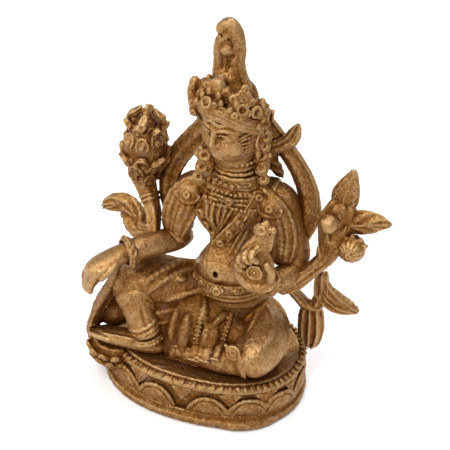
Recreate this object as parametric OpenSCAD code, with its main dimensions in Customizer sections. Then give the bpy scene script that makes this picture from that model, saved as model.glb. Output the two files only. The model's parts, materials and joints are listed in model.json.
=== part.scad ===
// Seated goddess on a lotus throne, cast in brass.
// Origin: centre of the underside. +Z up, the figure faces -Y, its left hand is on +X.

/* [Base] */
// Width of the plinth, side to side
base_w = 52.8; // [50:0.5:56]
// Depth of the plinth, front to back
base_d = 41; // [37:0.5:43]
// Squareness of the plinth's outline, 2 is an ellipse
base_power = 2.35; // [2.2:0.1:3]
// Height of the plain flared plinth
plinth_h = 3.4; // [3:0.1:4]
// Height of the band of lotus petals
petal_band_h = 6.4; // [6:0.1:7]
// Height of the beaded rim round the seat
rim_h = 1.5; // [1.2:0.1:1.8]
// Rise of the seat above the rim
slab_rise = 0.7; // [0.4:0.1:1]
// Wall thickness of the hollow base
base_wall = 2.4; // [2:0.1:3]
// Thickness of the plate that closes the underside
plate_t = 1.2; // [1:0.1:2]
// Broad petals round the base, and small ones hanging between them
petal_count = 14; // [12:1:18]
// Beads round the seat rim
bead_count = 72; // [60:1:84]

/* [Figure] */
// Height of the figure above the seat
figure_h = 88; // [80:1:96]
// Girth of the arms, 1 is the natural size
arm_girth = 1; // [0.9:0.05:1.1]
// Girth of the legs, 1 is the natural size
leg_girth = 1; // [0.9:0.05:1.05]
// Turn of the head to the figure's right, in degrees
head_turn = 22; // [0:1:28]
// Backward lean of the crown, in degrees
crown_tilt = 16; // [0:1:20]
// Width of the scarf, 1 is the natural size
scarf_width = 1; // [0.8:0.05:1.2]
// Bead radius of the jewellery
jewel_r = 0.55; // [0.45:0.05:0.6]

/* [Lotus flowers] */
// Radius of the large open lotus
lotus_r = 6.4; // [6:0.2:7]
// Radius of the lotus stems
stem_r = 1.5; // [1.3:0.1:1.8]
// Radius of the round bud
bud_r = 3.4; // [3:0.1:3.8]

/* [Hidden] */
seat_z = plinth_h + petal_band_h + rim_h + slab_rise;
natural_h = 88;
fig = figure_h / natural_h;
band_inset = 2.2;
rim_inset = 1.2;
wall_outline = band_inset + base_wall;
rim_z = plinth_h + petal_band_h;
petal_pitch = 1.5 * (base_w + base_d) / petal_count;
outline_points = 72;
sides = 10;
steps = 2;
polished = [0.72, 0.55, 0.30];
brass = [0.62, 0.46, 0.24];
worn = [0.52, 0.37, 0.19];
dark = [0.40, 0.27, 0.14];

// Rows of the spine: centre x, y, height above the seat, half width, half depth.
spine = [
    [5, 3.5, 0, 11, 8.4],
    [5, 3.3, 5, 11, 8.2],
    [4.4, 2.6, 12, 9.4, 7.8],
    [3.8, 1.9, 18, 8.1, 7.6],
    [3.3, 1.2, 23.5, 7.6, 7.1],
    [3.4, 2, 29, 5.7, 5],
    [3.5, 2.5, 33, 6.7, 5.2],
    [3.6, 2.9, 37, 7.8, 5.6],
    [3.7, 3.2, 41, 8.3, 5.6],
    [3.8, 3.1, 46, 7.4, 5.2],
    [3.6, 2.6, 50, 4.8, 4.4],
    [3.2, 1.4, 54, 3.6, 3.8],
    [2.9, 0.2, 56.6, 5.3, 5.6],
    [2.7, 0.4, 60.4, 6.8, 7],
    [2.2, 1, 65.2, 7.4, 7.8],
    [1.3, 1.6, 69.2, 7.2, 7.5],
    [0.3, 2, 73, 5.2, 5.4],
    [0.4, 2.5, 76.4, 3.8, 3.7],
    [0, 3, 79.6, 3.5, 3.2],
    [-0.3, 3, 82.5, 3.6, 3.1],
    [-0.4, 2.8, 85.5, 2.7, 2.5],
    [-0.4, 2.6, 88, 0.9, 0.9]
];

// Limb rows: x, y, height above the seat, half width, half thickness.
g = arm_girth;
right_arm_rows = [
    [-4.4, 3.4, 42.4, 3.2 * g, 3.2 * g], [-7.8, 3.4, 41, 3.8 * g, 3.8 * g],
    [-9.8, 2.4, 36, 3.3 * g, 3.3 * g], [-9.8, 1.2, 32, 3 * g, 3 * g], [-9.4, 0.4, 29.8, 3 * g, 3 * g]
];
right_forearm_rows = [
    [-7.8, 2.2, 27.2, 1.6 * g, 1.6 * g], [-9.6, 0, 27.4, 2.8 * g, 2.8 * g],
    [-12.5, -4, 28, 3.1 * g, 3.1 * g], [-16, -8, 28, 3 * g, 3 * g],
    [-19.2, -11.2, 27.4, 2.6 * g, 2.5 * g]
];
right_hand_rows = [
    [-19.2, -11.2, 27.4, 2.6 * g, 2.5 * g], [-21.8, -13.8, 26.4, 3.1 * g, 2.2 * g],
    [-24.7, -16.2, 23.8, 3.2 * g, 2.5 * g], [-26.4, -17.6, 19.8, 2.7 * g, 1.9 * g]
];
left_arm_rows = [
    [10.8, 3.8, 44.2, 3.2 * g, 3.2 * g], [14.4, 4.2, 42.8, 3.9 * g, 3.9 * g],
    [17.4, 3.8, 38, 3.4 * g, 3.4 * g], [19.6, 2.8, 32.6, 3.1 * g, 3.1 * g], [20.4, 2.4, 29.6, 3 * g, 3 * g]
];
left_forearm_rows = [
    [20.8, 2.6, 26.6, 1.8 * g, 1.8 * g], [20.2, 0.6, 26.4, 2.9 * g, 2.9 * g],
    [18.4, -3, 26, 2.9 * g, 2.8 * g], [16.8, -5.8, 26.2, 2.6 * g, 2.5 * g], [15.4, -7.8, 27.2, 2.3 * g, 2.2 * g]
];
left_hand_rows = [
    [15.4, -7.8, 27.2, 2.8 * g, 2.2 * g], [14.2, -8.6, 29.4, 4 * g, 2 * g],
    [13, -8.8, 32.4, 4.3 * g, 1.9 * g], [12.8, -8.6, 35.6, 3.2 * g, 1.5 * g], [14, -8.2, 39.4, 1.8 * g, 1.2 * g],
    [14.5, -7.8, 43.2, 1 * g, 0.8 * g]
];
k = leg_girth;
right_thigh_rows = [
    [-1.4, 1.5, 11.6, 6 * k, 6.6 * k], [-8, -0.8, 14, 6.4 * k, 7 * k], [-14, -4.4, 15.6, 5.8 * k, 6.4 * k],
    [-18, -7.2, 15.8, 5 * k, 5.6 * k], [-20.4, -9, 15.6, 2.6 * k, 3.2 * k]
];
right_shin_rows = [
    [-16.6, -9.8, 13.6, 4 * k, 3.4 * k], [-14.4, -10.6, 9.4, 4 * k, 3.6 * k],
    [-12.4, -11, 5.6, 3.6 * k, 3.4 * k], [-11.6, -11.2, 3.6, 2.8 * k, 2.8 * k]
];
right_foot_rows = [
    [-8.6, -11.2, 2, 1.4, 1.4], [-11.4, -11.6, 2.6, 2.6, 2.4], [-16.4, -12, 2.8, 2.8, 2.3],
    [-21.2, -11.9, 2.2, 2.8, 1.8], [-25.2, -11.2, 1.6, 2.4, 1.3], [-27, -10.8, 1.4, 1.2, 0.7]
];
left_thigh_rows = [
    [10.4, 5.4, 7, 5 * k, 5.6 * k], [13.4, 2.4, 7.2, 5.6 * k, 6.4 * k], [15.6, -2.8, 7.2, 6 * k, 6.6 * k],
    [16, -8, 6.9, 5.6 * k, 6 * k], [15.6, -12, 6.4, 4.2 * k, 4.8 * k], [15.2, -14.2, 6, 1.8 * k, 2.2 * k]
];
left_shin_rows = [
    [11.6, -11.2, 4.4, 4 * k, 3.8 * k], [7.6, -12, 4.2, 3.8 * k, 3.6 * k], [3.6, -12, 3.6, 3 * k, 3 * k],
    [1.4, -11.9, 3.4, 2.5 * k, 2.6 * k]
];
left_foot_rows = [
    [1.4, -11.9, 3.4, 2.5, 2.6], [-1.6, -11.4, 3.2, 2.6, 2.2], [-4.6, -10.8, 2.6, 2.3, 1.6],
    [-6.4, -10.6, 2.2, 1.2, 0.8]
];

// Rows of the scarf: the arc behind each shoulder and its loose ends.
s = scarf_width;
left_scarf_rows = [
    [8.6, 5.6, 62, 2 * s, 1.1], [13, 6.4, 56.4, 2.2 * s, 1.2], [17.2, 6.8, 51, 2.4 * s, 1.3],
    [20.2, 6.4, 45.4, 2.6 * s, 1.4], [21.6, 5.2, 40, 2.6 * s, 1.4], [21, 4.2, 35.6, 2 * s, 1.3],
    [20, 3.4, 31.6, 1.3 * s, 1.1]
];
right_scarf_rows = [
    [-4.6, 6.2, 59.4, 2.2 * s, 1.2], [-8.4, 6.6, 53.6, 2.6 * s, 1.3], [-12.4, 6.4, 47.4, 2.6 * s, 1.3],
    [-14.2, 5, 41.6, 2.4 * s, 1.4], [-13.2, 3.4, 36, 2.4 * s, 1.4], [-11.8, 3.8, 31, 1.8 * s, 1.2],
    [-10.6, 4.4, 28, 1.2 * s, 1]
];
flying_end_rows = [
    [26.8, 2, 25.4, 1.2, 1], [27.8, 2.8, 20.8, 2.4, 1.3], [30.6, 3.4, 17.8, 2.6, 1.3],
    [33.6, 3.8, 16.6, 1.9, 1.1], [36, 4, 16, 0.6, 0.5]
];
hanging_lobe_rows = [
    [24.6, 4.2, 14.6, 2.2 * s, 1.2], [24.8, 4.6, 10.4, 3.1 * s, 1.5], [24.9, 5, 5.4, 3.1 * s, 1.5],
    [24.9, 5.3, 2.4, 2.3 * s, 1.3], [24.9, 5.4, 0.8, 1 * s, 0.8]
];
hanging_outer_rows = [
    [27.2, 1.8, 26.4, 1.2 * s, 1.1], [27.4, 2.8, 21.6, 1.4 * s, 1.2], [26.6, 3.6, 17.4, 1.5 * s, 1.2],
    [25.6, 4, 14.6, 1.3 * s, 1.1]
];
hanging_inner_rows = [
    [18.8, 1.6, 21.4, 0.9 * s, 0.9], [20, 2.6, 18.8, 1.1 * s, 1], [21.8, 3.4, 16.4, 1.2 * s, 1.1],
    [23.4, 3.9, 14.4, 1.2 * s, 1]
];
lap_rows = [
    [1.6, -3, 12.6, 7.6, 3.4], [0.6, -6, 10.2, 8.8, 3.8], [-0.4, -8.4, 6.8, 9, 3.6],
    [-1, -10.2, 3.2, 8, 2.8], [-1.2, -11.2, 1, 7, 1.8]
];
thigh_drape_rows = [
    [-2.6, -3.6, 6.6, 3.4, 5.6], [-7, -5.6, 7, 4, 6.4], [-11.4, -7.6, 6.8, 3.6, 6], [-13.8, -8.8, 6.4, 2.2, 4]
];
right_shoulder_drape_rows = [
    [-3.6, 0.8, 45.6, 2.4 * s, 1.2], [-7.6, 0.2, 41.4, 3.9 * s, 1.5], [-9.2, -0.6, 36.4, 4.2 * s, 1.5],
    [-9.6, -1.4, 32, 3.2 * s, 1.3], [-9.4, -1.6, 29, 1.8 * s, 1]
];
left_shoulder_drape_rows = [
    [10.2, 1, 47, 2.4 * s, 1.3], [14.4, 0.6, 43, 3.9 * s, 1.5], [16.7, -0.1, 37.4, 4.6 * s, 1.5],
    [17.5, -0.8, 32, 4.4 * s, 1.4], [17.8, -0.9, 29, 3 * s, 1.1]
];
knee_drape_rows = [
    [-21.4, -7.6, 18.6, 3, 1.4], [-23.8, -7.6, 13.6, 4.6, 1.6], [-26.2, -7.2, 8, 5, 1.5],
    [-28, -7.4, 0.4, 4.8, 1.2]
];

// Rows of the two lotus plants.
right_stem_rows = [
    [-14.8, -3.6, 30, stem_r * 1.1, stem_r * 1.1], [-16.2, 0, 33.4, stem_r * 1.25, stem_r * 1.25],
    [-18.6, 2.6, 37, stem_r * 1.6, stem_r * 1.4], [-20.2, 3.6, 40.6, stem_r * 2.1, stem_r * 1.5],
    [-20.4, 4, 44.4, stem_r * 2.5, stem_r * 1.9]
];
right_leaf_rows = [
    [-17.4, 0.4, 28.2, 1.3, 1.1], [-19.8, 2, 27, 1.9, 1.3], [-22, 3.6, 29.2, 2.8, 1.5],
    [-25, 4.6, 30.6, 3, 1.5], [-28.4, 5, 29.8, 2.4, 1.3], [-31, 5, 28.2, 0.9, 0.8]
];
left_stem_rows = [
    [18.6, -3, 22.8, 1.2 * stem_r, 0.9 * stem_r], [21.4, -1.4, 24.6, 1.4 * stem_r, 1.1 * stem_r],
    [25.2, 0, 28.6, 1.2 * stem_r, 1.1 * stem_r], [28, 0.8, 32.6, 1.6 * stem_r, 1.3 * stem_r],
    [28.8, 1, 37.6, 2.3 * stem_r, 1.5 * stem_r], [29.4, 1.6, 42, 3 * stem_r, 1.7 * stem_r],
    [30, 2, 45.8, 2.3 * stem_r, 1.3 * stem_r]
];
top_leaf_rows = [
    [29.8, 2.6, 45.8, 2.4, 1.2], [30.2, 2.4, 49, 3.2, 1.3], [31, 2.2, 53, 2.2, 1.1],
    [31.6, 2, 56.4, 0.6, 0.6]
];
side_leaf_rows = [
    [32, 2, 42.2, 2.6, 1.4], [35.4, 2, 43.4, 3.1, 1.5], [38.6, 2, 44.2, 2.3, 1.2], [41.4, 2, 44.4, 0.6, 0.6]
];
bud_centre = [33.6, 0.4, 36.4];
ball_centre = [28, -1.6, 43];
lotus_centre = [-20.2, 3.6, 49];
foot_lotus_centre = [-20.2, -8.4];
foot_lotus_r = 7;
hem_disc_at = [11, -13.6, 8.6];
palm_disc_at = [13.6, -10.3, 31.2];

function point(row) = [row[0], row[1], row[2]];
function unit(v) = v / norm(v);
// Point on the superellipse of the base at angle a, its outline moved in by inset.
function signed_power(v, p) = sign(v) * pow(abs(v), p);
function base_point(a, inset) = [
    (base_w / 2 - inset) * signed_power(cos(a), 2 / base_power),
    (base_d / 2 - inset) * signed_power(sin(a), 2 / base_power)
];
// Angle of the outline's outward normal near angle a.
function base_normal(a, inset) =
    let (d = base_point(a + 2, inset) - base_point(a - 2, inset)) atan2(-d[0], d[1]);
function row_curve(rows, i, t) =
    let (a = rows[max(i - 1, 0)], b = rows[i], c = rows[i + 1], d = rows[min(i + 2, len(rows) - 1)])
    0.5 * (2 * b + (c - a) * t + (2 * a - 5 * b + 4 * c - d) * t * t + (3 * b - a - 3 * c + d) * t * t * t);
function smooth_rows(rows) = concat(
    [for (i = [0:len(rows) - 2]) for (j = [0:steps - 1]) row_curve(rows, i, j / steps)],
    [rows[len(rows) - 1]]
);
function tangent(rows, i) =
    unit(point(rows[min(i + 1, len(rows) - 1)]) - point(rows[max(i - 1, 0)]));
// Elliptical ring of one row, square to the tangent, its width along cross(ref, tangent).
function limb_ring(rows, i, ref) =
    let (t = tangent(rows, i), u = unit(cross(ref, t)), v = cross(t, u), r = rows[i])
    [for (n = [0:sides - 1])
        point(r) + r[3] * cos(360 * n / sides) * u + r[4] * sin(360 * n / sides) * v];
function flat_ring(r, count, grow) =
    [for (n = [0:count - 1])
        [r[0] + (r[3] + grow) * cos(360 * n / count), r[1] + (r[4] + grow) * sin(360 * n / count), r[2]]];
// Spine row at any height, and a point on the body's surface there, lifted off by lift.
function spine_row(z, i = 0) =
    z <= spine[i + 1][2] || i == len(spine) - 2
        ? spine[i] + (spine[i + 1] - spine[i]) * (z - spine[i][2]) / (spine[i + 1][2] - spine[i][2])
        : spine_row(z, i + 1);
function on_body(a, z, lift) =
    let (r = spine_row(z)) [r[0] + (r[3] + lift) * cos(a), r[1] + (r[4] + lift) * sin(a), z];

// Closed skin through rings of equal length, flat at both ends.
module skin(rings) {
    n = len(rings[0]);
    last = len(rings) - 1;
    sides_of_skin = [for (i = [0:last - 1]) for (j = [0:n - 1])
        [i * n + j, (i + 1) * n + j, (i + 1) * n + (j + 1) % n, i * n + (j + 1) % n]];
    polyhedron(
        [for (r = rings) each r],
        concat([[for (j = [0:n - 1]) j]], sides_of_skin, [[for (j = [n - 1:-1:0]) last * n + j]]),
        convexity = 4
    );
}
module limb(rows, ref) {
    fine = smooth_rows(rows);
    skin([for (i = [0:len(fine) - 1]) limb_ring(fine, i, ref)]);
}
// The part of the trunk between two rows of the spine.
module trunk(from, to, count = 14) {
    fine = smooth_rows(spine);
    skin([for (i = [from * steps:to * steps]) flat_ring(fine[i], count, 0)]);
}
// Closed band lying on the body between two heights, t thick.
module body_band(z0, z1, t, gap_off = 0.05) {
    a = spine_row(z0);
    b = spine_row(z1);
    difference() {
        skin([flat_ring(a, 28, t), flat_ring(b, 28, t)]);
        skin([
            flat_ring([a[0], a[1], a[2] - 0.1, a[3], a[4]], 28, gap_off),
            flat_ring([b[0], b[1], b[2] + 0.1, b[3], b[4]], 28, gap_off)
        ]);
    }
}
// Beads, each just clear of the next, along a list of points.
module beads(points, r) {
    for (p = points) translate(p) sphere(r = r, $fn = 16);
}
// Ring that a limb passes through, from point p along direction d.
module bangle(p, d, inner, t) {
    translate(p)
        rotate([0, acos(unit(d)[2]), atan2(d[1], d[0])])
            rotate_extrude($fn = 32) translate([inner + t, 0]) circle(r = t, $fn = 16);
}
module superellipse(inset) {
    polygon([for (i = [0:outline_points - 1]) base_point(360 * i / outline_points, inset)]);
}
module wall(inset, hollow_inset, h) {
    linear_extrude(h) difference() {
        superellipse(inset);
        superellipse(hollow_inset);
    }
}
module on_seat() {
    translate([0, 0, seat_z]) scale(fig) children();
}
// Upright pointed petal, root at the origin, facing +X.
module petal(w, h, t) {
    rotate([90, 0, 90]) linear_extrude(t)
        polygon([[-w * 0.34, 0], [w * 0.34, 0], [w / 2, h * 0.35], [w * 0.36, h * 0.75], [0, h],
            [-w * 0.36, h * 0.75], [-w / 2, h * 0.35]]);
}
module petal_row(z, shift, w, h, t, pointing_down) {
    for (i = [0:petal_count - 1]) {
        a = 360 * (i + shift) / petal_count;
        p = base_point(a, band_inset);
        translate([p[0], p[1], z]) rotate(base_normal(a, band_inset))
            mirror([0, 0, pointing_down ? 1 : 0]) petal(w, h, t);
    }
}
module spear_tip(centre, r, h) {
    translate(centre) rotate_extrude($fn = 24)
        polygon([[0, 0], [r, 0], [r * 1.05, h * 0.25], [r * 0.7, h * 0.6], [0, h]]);
}

module base_plate() {
    color(dark) linear_extrude(plate_t) superellipse(wall_outline);
}
module plinth() {
    color(brass) {
        wall(0, wall_outline, plinth_h * 0.6);
        translate([0, 0, plinth_h * 0.6]) wall(1, wall_outline, plinth_h * 0.4);
    }
}
module lotus_drum() {
    color(worn) translate([0, 0, plinth_h]) wall(band_inset, wall_outline, petal_band_h);
}
module lower_petals() {
    color(brass) petal_row(plinth_h + 0.1, 0, petal_pitch * 0.84, petal_band_h * 0.76, 1.1, false);
}
module upper_petals() {
    color(brass) petal_row(rim_z - 0.1, 0.5, petal_pitch * 0.36, petal_band_h * 0.56, 0.8, true);
}
module seat_rim() {
    color(brass) translate([0, 0, rim_z]) wall(rim_inset, wall_outline, rim_h);
}
module rim_beads() {
    color(polished) for (i = [0:bead_count - 1]) {
        a = 360 * i / bead_count;
        p = base_point(a, rim_inset + 0.8);
        translate([p[0], p[1], rim_z + rim_h]) cylinder(r = 0.55, h = 0.5, $fn = 16);
    }
}
module seat_slab() {
    color(worn) {
        translate([0, 0, rim_z]) linear_extrude(rim_h) superellipse(wall_outline);
        translate([0, 0, rim_z + rim_h]) linear_extrude(slab_rise) superellipse(rim_inset + 1.8);
    }
}
module foot_lotus() {
    color(brass) difference() {
        translate([foot_lotus_centre[0] * fig, foot_lotus_centre[1] * fig, 0]) rotate_extrude($fn = 48)
            polygon([[0, 4.4], [2.6, 4.4], [foot_lotus_r, 8], [foot_lotus_r + 0.4, 9.6],
                [foot_lotus_r - 0.6, seat_z], [0, seat_z]]);
        translate([0, 0, -1]) linear_extrude(rim_z + rim_h + 1) superellipse(rim_inset);
        linear_extrude(seat_z + 1) superellipse(rim_inset + 0.2);
    }
}

module hips() {
    color(worn) on_seat() trunk(0, 2);
}
module belly() {
    color(polished) on_seat() trunk(2, 5);
}
module chest() {
    color(brass) on_seat() trunk(5, 10);
}
module neck() {
    color(brass) on_seat() trunk(10, 11);
}
module head() {
    color(polished) on_seat() trunk(11, 14);
}
module hair() {
    color(worn) on_seat() trunk(14, 16);
}
module topknot() {
    color(brass) on_seat() trunk(16, 21);
}
module belt() {
    color(brass) on_seat() body_band(19.2, 21.2, 0.9);
}
module belt_clasp() {
    color(polished) on_seat() translate(on_body(270, 20.2, 0.95))
        rotate([90, 0, 0]) cylinder(r = 1.5, h = 1, $fn = 24);
}
module necklace_collar() {
    color(polished) on_seat()
        beads([for (a = [200:14:340]) on_body(a, 51 - 1.6 * sin(a - 180), jewel_r * 0.8)], jewel_r);
}
module long_necklace() {
    color(polished) on_seat()
        beads([for (i = [0:18]) on_body(270 - 70 * cos(10 * i), 47 - 3 * sin(10 * i), jewel_r * 0.8)], jewel_r);
}
module chest_sash() {
    color(brass) on_seat() {
        rows = [for (i = [0:8]) let (p = on_body(327 - 9 * i, 46.4 - 1.95 * i, 0.75)) [p[0], p[1], p[2], 1.5, 0.6]];
        limb(rows, [0.4, -1, 0]);
    }
}
module right_arm() {
    color(brass) on_seat() limb(right_arm_rows, [0, -1, 0]);
}
module right_forearm() {
    color(polished) on_seat() limb(right_forearm_rows, [0, 0, 1]);
}
module right_hand() {
    color(brass) on_seat() limb(right_hand_rows, [0, 0, 1]);
}
module left_arm() {
    color(brass) on_seat() limb(left_arm_rows, [0, -1, 0]);
}
module left_forearm() {
    color(brass) on_seat() limb(left_forearm_rows, [0, 0, 1]);
}
module left_hand() {
    color(polished) on_seat() limb(left_hand_rows, [0.2, -1, 0]);
}
module palm_disc() {
    color(polished) on_seat() translate(palm_disc_at) rotate([90, 0, 8]) cylinder(r = 1.6, h = 0.8, $fn = 24);
}
module bangles() {
    color(brass) on_seat() {
        bangle([-18.4, -10.5, 27.6], [3, 3, 0.4], 3 * g, 0.5);
        bangle([16.2, -6.8, 26.6], [-1.5, -2.1, 0.7], 2.7 * g, 0.5);
        bangle([-12.4, -11.1, 4.4], [-1.4, -0.4, 6], 3.7 * k, 0.45);
    }
}
module right_thigh() {
    color(brass) on_seat() limb(right_thigh_rows, [0, 0, 1]);
}
module knee_drape() {
    color(worn) on_seat() limb(knee_drape_rows, [1, 0, 0]);
}
module right_shin() {
    color(polished) on_seat() limb(right_shin_rows, [0, -1, 0]);
}
module right_foot() {
    color(brass) on_seat() limb(right_foot_rows, [0, 0, 1]);
}
module left_thigh() {
    color(polished) on_seat() limb(left_thigh_rows, [0, 0, 1]);
}
module left_shin() {
    color(brass) on_seat() limb(left_shin_rows, [0, 0, 1]);
}
module left_foot() {
    color(brass) on_seat() limb(left_foot_rows, [0, 0, 1]);
}
module skirt_folds() {
    color(worn) on_seat() limb(lap_rows, [0, -1, 0.4]);
}
module thigh_drape() {
    color(dark) on_seat() limb(thigh_drape_rows, [0, 0, 1]);
}
module shoulder_drapes() {
    color(brass) on_seat() {
        limb(right_shoulder_drape_rows, [0, -1, 0]);
        limb(left_shoulder_drape_rows, [0, -1, 0]);
    }
}
module hem_disc() {
    color(polished) on_seat() translate(hem_disc_at) rotate([80, 0, 10]) cylinder(r = 2, h = 1.2, $fn = 32);
}
// The crown leans towards the figure's left.
module crown_lean() {
    translate([1.8, 1.6, 68.4]) rotate(crown_tilt, [-sin(60), cos(60), 0]) translate([-1.8, -1.6, -68.4]) children();
}
module crown_band() {
    color(brass) on_seat() crown_lean() body_band(66, 68.4, 1.2);
}
// Angles of the five leaves of the crown and of the rosettes in front of them.
leaf_angles = [for (i = [0:4]) 270 - head_turn + 46 * (i - 2)];
module crown_leaves() {
    color(brass) on_seat() crown_lean() for (a = leaf_angles)
        translate(on_body(a, 68.5, 0.2)) rotate([0, -14, a]) petal(5.4, 7.6, 1);
}
module crown_rosettes() {
    color(polished) on_seat() crown_lean() for (a = leaf_angles)
        translate(on_body(a, 70.6, 1.25)) rotate([0, 80, a]) cylinder(r1 = 1.7, r2 = 1.1, h = 1.2, $fn = 24);
}
module earrings() {
    color(polished) on_seat() {
        translate([-2.2, -3.2, 55.4]) rotate([0, -90, 50]) cylinder(r = 2.2, h = 1.4, $fn = 24);
        translate([9, 0.2, 56.4]) rotate([0, 90, -20]) cylinder(r = 2.5, h = 1.5, $fn = 24);
    }
}
module crown_ribbons() {
    color(brass) on_seat() {
        limb([[9.4, 3.4, 56, 1.3, 1], [12.8, 4.4, 57.2, 1.5, 1.1], [15.2, 4.8, 59.2, 1.7, 1.2],
            [16.2, 5, 61.6, 1.3, 0.9], [16.6, 5, 63.4, 0.5, 0.5]], [0, -1, 0]);
        limb([[-4.4, 3.6, 59, 1.2, 1], [-6.2, 3.2, 61.6, 1.4, 1], [-7, 3, 64.4, 0.6, 0.6]], [0, -1, 0]);
    }
}
module hair_locks() {
    color(worn) on_seat() {
        limb([[-3.6, 5.2, 55, 1.4, 1.2], [-5, 6, 50, 1.5, 1.2], [-6.2, 6.6, 46, 0.8, 0.8]], [0, -1, 0]);
        limb([[9.4, 5.2, 56, 1.4, 1.2], [11.4, 6, 51, 1.6, 1.2], [13, 7.4, 47.6, 0.8, 0.8]], [0, -1, 0]);
    }
}
module right_scarf() {
    color(brass) on_seat() limb(right_scarf_rows, [0, -1, 0]);
}
module left_scarf() {
    color(brass) on_seat() limb(left_scarf_rows, [0, -1, 0]);
}
module flying_scarf_end() {
    color(brass) on_seat() limb(flying_end_rows, [0, -1, 0]);
}
module hanging_scarf_end() {
    color(brass) on_seat() {
        limb(hanging_lobe_rows, [0, -1, 0]);
        limb(hanging_outer_rows, [0, -1, 0]);
        limb(hanging_inner_rows, [0, -1, 0]);
    }
}
module right_lotus_stem() {
    color(brass) on_seat() limb(right_stem_rows, [0, -1, 0]);
}
module right_lotus_leaf() {
    color(worn) on_seat() limb(right_leaf_rows, [0, -1, 0]);
}
module right_lotus_cup() {
    color(worn) on_seat() translate(lotus_centre - [0, 0, lotus_r * 0.75]) rotate_extrude($fn = 32)
        polygon([[0, 0], [lotus_r * 0.45, 0], [lotus_r * 0.85, lotus_r * 0.5], [lotus_r * 0.85, lotus_r],
            [lotus_r * 0.5, lotus_r * 1.6], [0, lotus_r * 1.6]]);
}
module right_lotus_petals() {
    color(brass) on_seat() translate(lotus_centre - [0, 0, lotus_r * 0.1])
        for (i = [0:7]) rotate(22.5 + 45 * i) translate([lotus_r * 0.86, 0, -lotus_r * 0.35])
            petal(lotus_r * 0.66, lotus_r * 0.85, 0.9);
}
module right_lotus_tip() {
    color(polished) on_seat() spear_tip(lotus_centre + [0, 0, lotus_r * 0.85], lotus_r * 0.5, lotus_r * 0.95);
}
module left_lotus_stem() {
    color(brass) on_seat() limb(left_stem_rows, [0, -1, 0]);
}
module left_lotus_top_leaf() {
    color(brass) on_seat() limb(top_leaf_rows, [0, -1, 0]);
}
module left_lotus_side_leaf() {
    color(brass) on_seat() limb(side_leaf_rows, [0, -1, 0]);
}
module left_lotus_ball() {
    color(polished) on_seat() translate(ball_centre) sphere(r = 2.4, $fn = 32);
}
module left_lotus_bud() {
    color(polished) on_seat() translate(bud_centre) sphere(r = bud_r, $fn = 32);
}

base_plate();
plinth();
lotus_drum();
lower_petals();
upper_petals();
seat_rim();
rim_beads();
seat_slab();
foot_lotus();
hips();
belly();
chest();
neck();
head();
hair();
topknot();
belt();
belt_clasp();
necklace_collar();
long_necklace();
chest_sash();
right_arm();
right_forearm();
right_hand();
left_arm();
left_forearm();
left_hand();
palm_disc();
bangles();
right_thigh();
knee_drape();
right_shin();
right_foot();
left_thigh();
left_shin();
left_foot();
skirt_folds();
thigh_drape();
shoulder_drapes();
hem_disc();
crown_band();
crown_leaves();
crown_rosettes();
earrings();
crown_ribbons();
hair_locks();
right_scarf();
left_scarf();
flying_scarf_end();
hanging_scarf_end();
right_lotus_stem();
right_lotus_leaf();
right_lotus_cup();
right_lotus_petals();
right_lotus_tip();
left_lotus_stem();
left_lotus_top_leaf();
left_lotus_side_leaf();
left_lotus_ball();
left_lotus_bud();
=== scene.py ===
"""Seated goddess on a lotus throne in worn cast brass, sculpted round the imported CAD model.

Every piece is modelled as clay: a block of signed distances, in millimetres, that primitives are
blended into or carved out of. The block's zero surface becomes the piece's mesh."""
import json
from math import asin, atan2, ceil, cos, degrees, floor, pi, radians, sin, sqrt

import bmesh
import bpy
import numpy as np
from mathutils import Matrix, Vector


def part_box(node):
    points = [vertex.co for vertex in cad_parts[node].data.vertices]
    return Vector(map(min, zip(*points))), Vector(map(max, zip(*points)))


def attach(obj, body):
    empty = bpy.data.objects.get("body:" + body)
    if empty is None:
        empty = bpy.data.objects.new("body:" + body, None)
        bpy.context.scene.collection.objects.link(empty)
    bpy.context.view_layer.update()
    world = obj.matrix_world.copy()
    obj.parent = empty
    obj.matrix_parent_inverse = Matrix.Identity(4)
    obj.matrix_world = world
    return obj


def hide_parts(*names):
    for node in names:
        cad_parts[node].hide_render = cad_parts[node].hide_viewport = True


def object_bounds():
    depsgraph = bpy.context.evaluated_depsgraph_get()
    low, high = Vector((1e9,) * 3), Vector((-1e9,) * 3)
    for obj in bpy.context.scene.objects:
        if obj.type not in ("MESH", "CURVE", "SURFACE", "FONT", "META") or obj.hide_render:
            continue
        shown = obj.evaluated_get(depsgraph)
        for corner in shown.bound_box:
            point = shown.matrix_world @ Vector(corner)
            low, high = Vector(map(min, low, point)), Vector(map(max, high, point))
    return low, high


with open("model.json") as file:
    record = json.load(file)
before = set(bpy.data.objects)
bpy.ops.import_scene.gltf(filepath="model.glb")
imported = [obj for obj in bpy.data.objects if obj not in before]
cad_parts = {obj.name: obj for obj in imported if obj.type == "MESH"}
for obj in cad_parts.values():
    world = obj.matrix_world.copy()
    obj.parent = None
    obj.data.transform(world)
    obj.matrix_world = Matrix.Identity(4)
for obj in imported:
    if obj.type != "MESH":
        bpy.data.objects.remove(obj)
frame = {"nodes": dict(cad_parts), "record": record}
cad_box = [list(v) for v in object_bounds()]

MM = 0.001
VOXEL = 0.22
FAR = 4.0
COARSE = 0.6
UP = np.array([0.0, 0.0, 1.0])


# ---------------------------------------------------------------- small vector helpers
def vec(*v):
    return np.array(v[0] if len(v) == 1 else v, float)


def unit(v):
    v = np.asarray(v, float)
    return v / (np.linalg.norm(v) + 1e-12)


def cosd(angle_in_degrees):
    return cos(radians(angle_in_degrees))


def sind(angle_in_degrees):
    return sin(radians(angle_in_degrees))


def mix(a, b, t):
    return a + (b - a) * t


def turned(v, axis, degrees):
    """v turned about axis by the right-hand rule."""
    k, a = unit(axis), radians(degrees)
    v = np.asarray(v, float)
    return v * cos(a) + np.cross(k, v) * sin(a) + k * np.dot(k, v) * (1 - cos(a))


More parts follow.
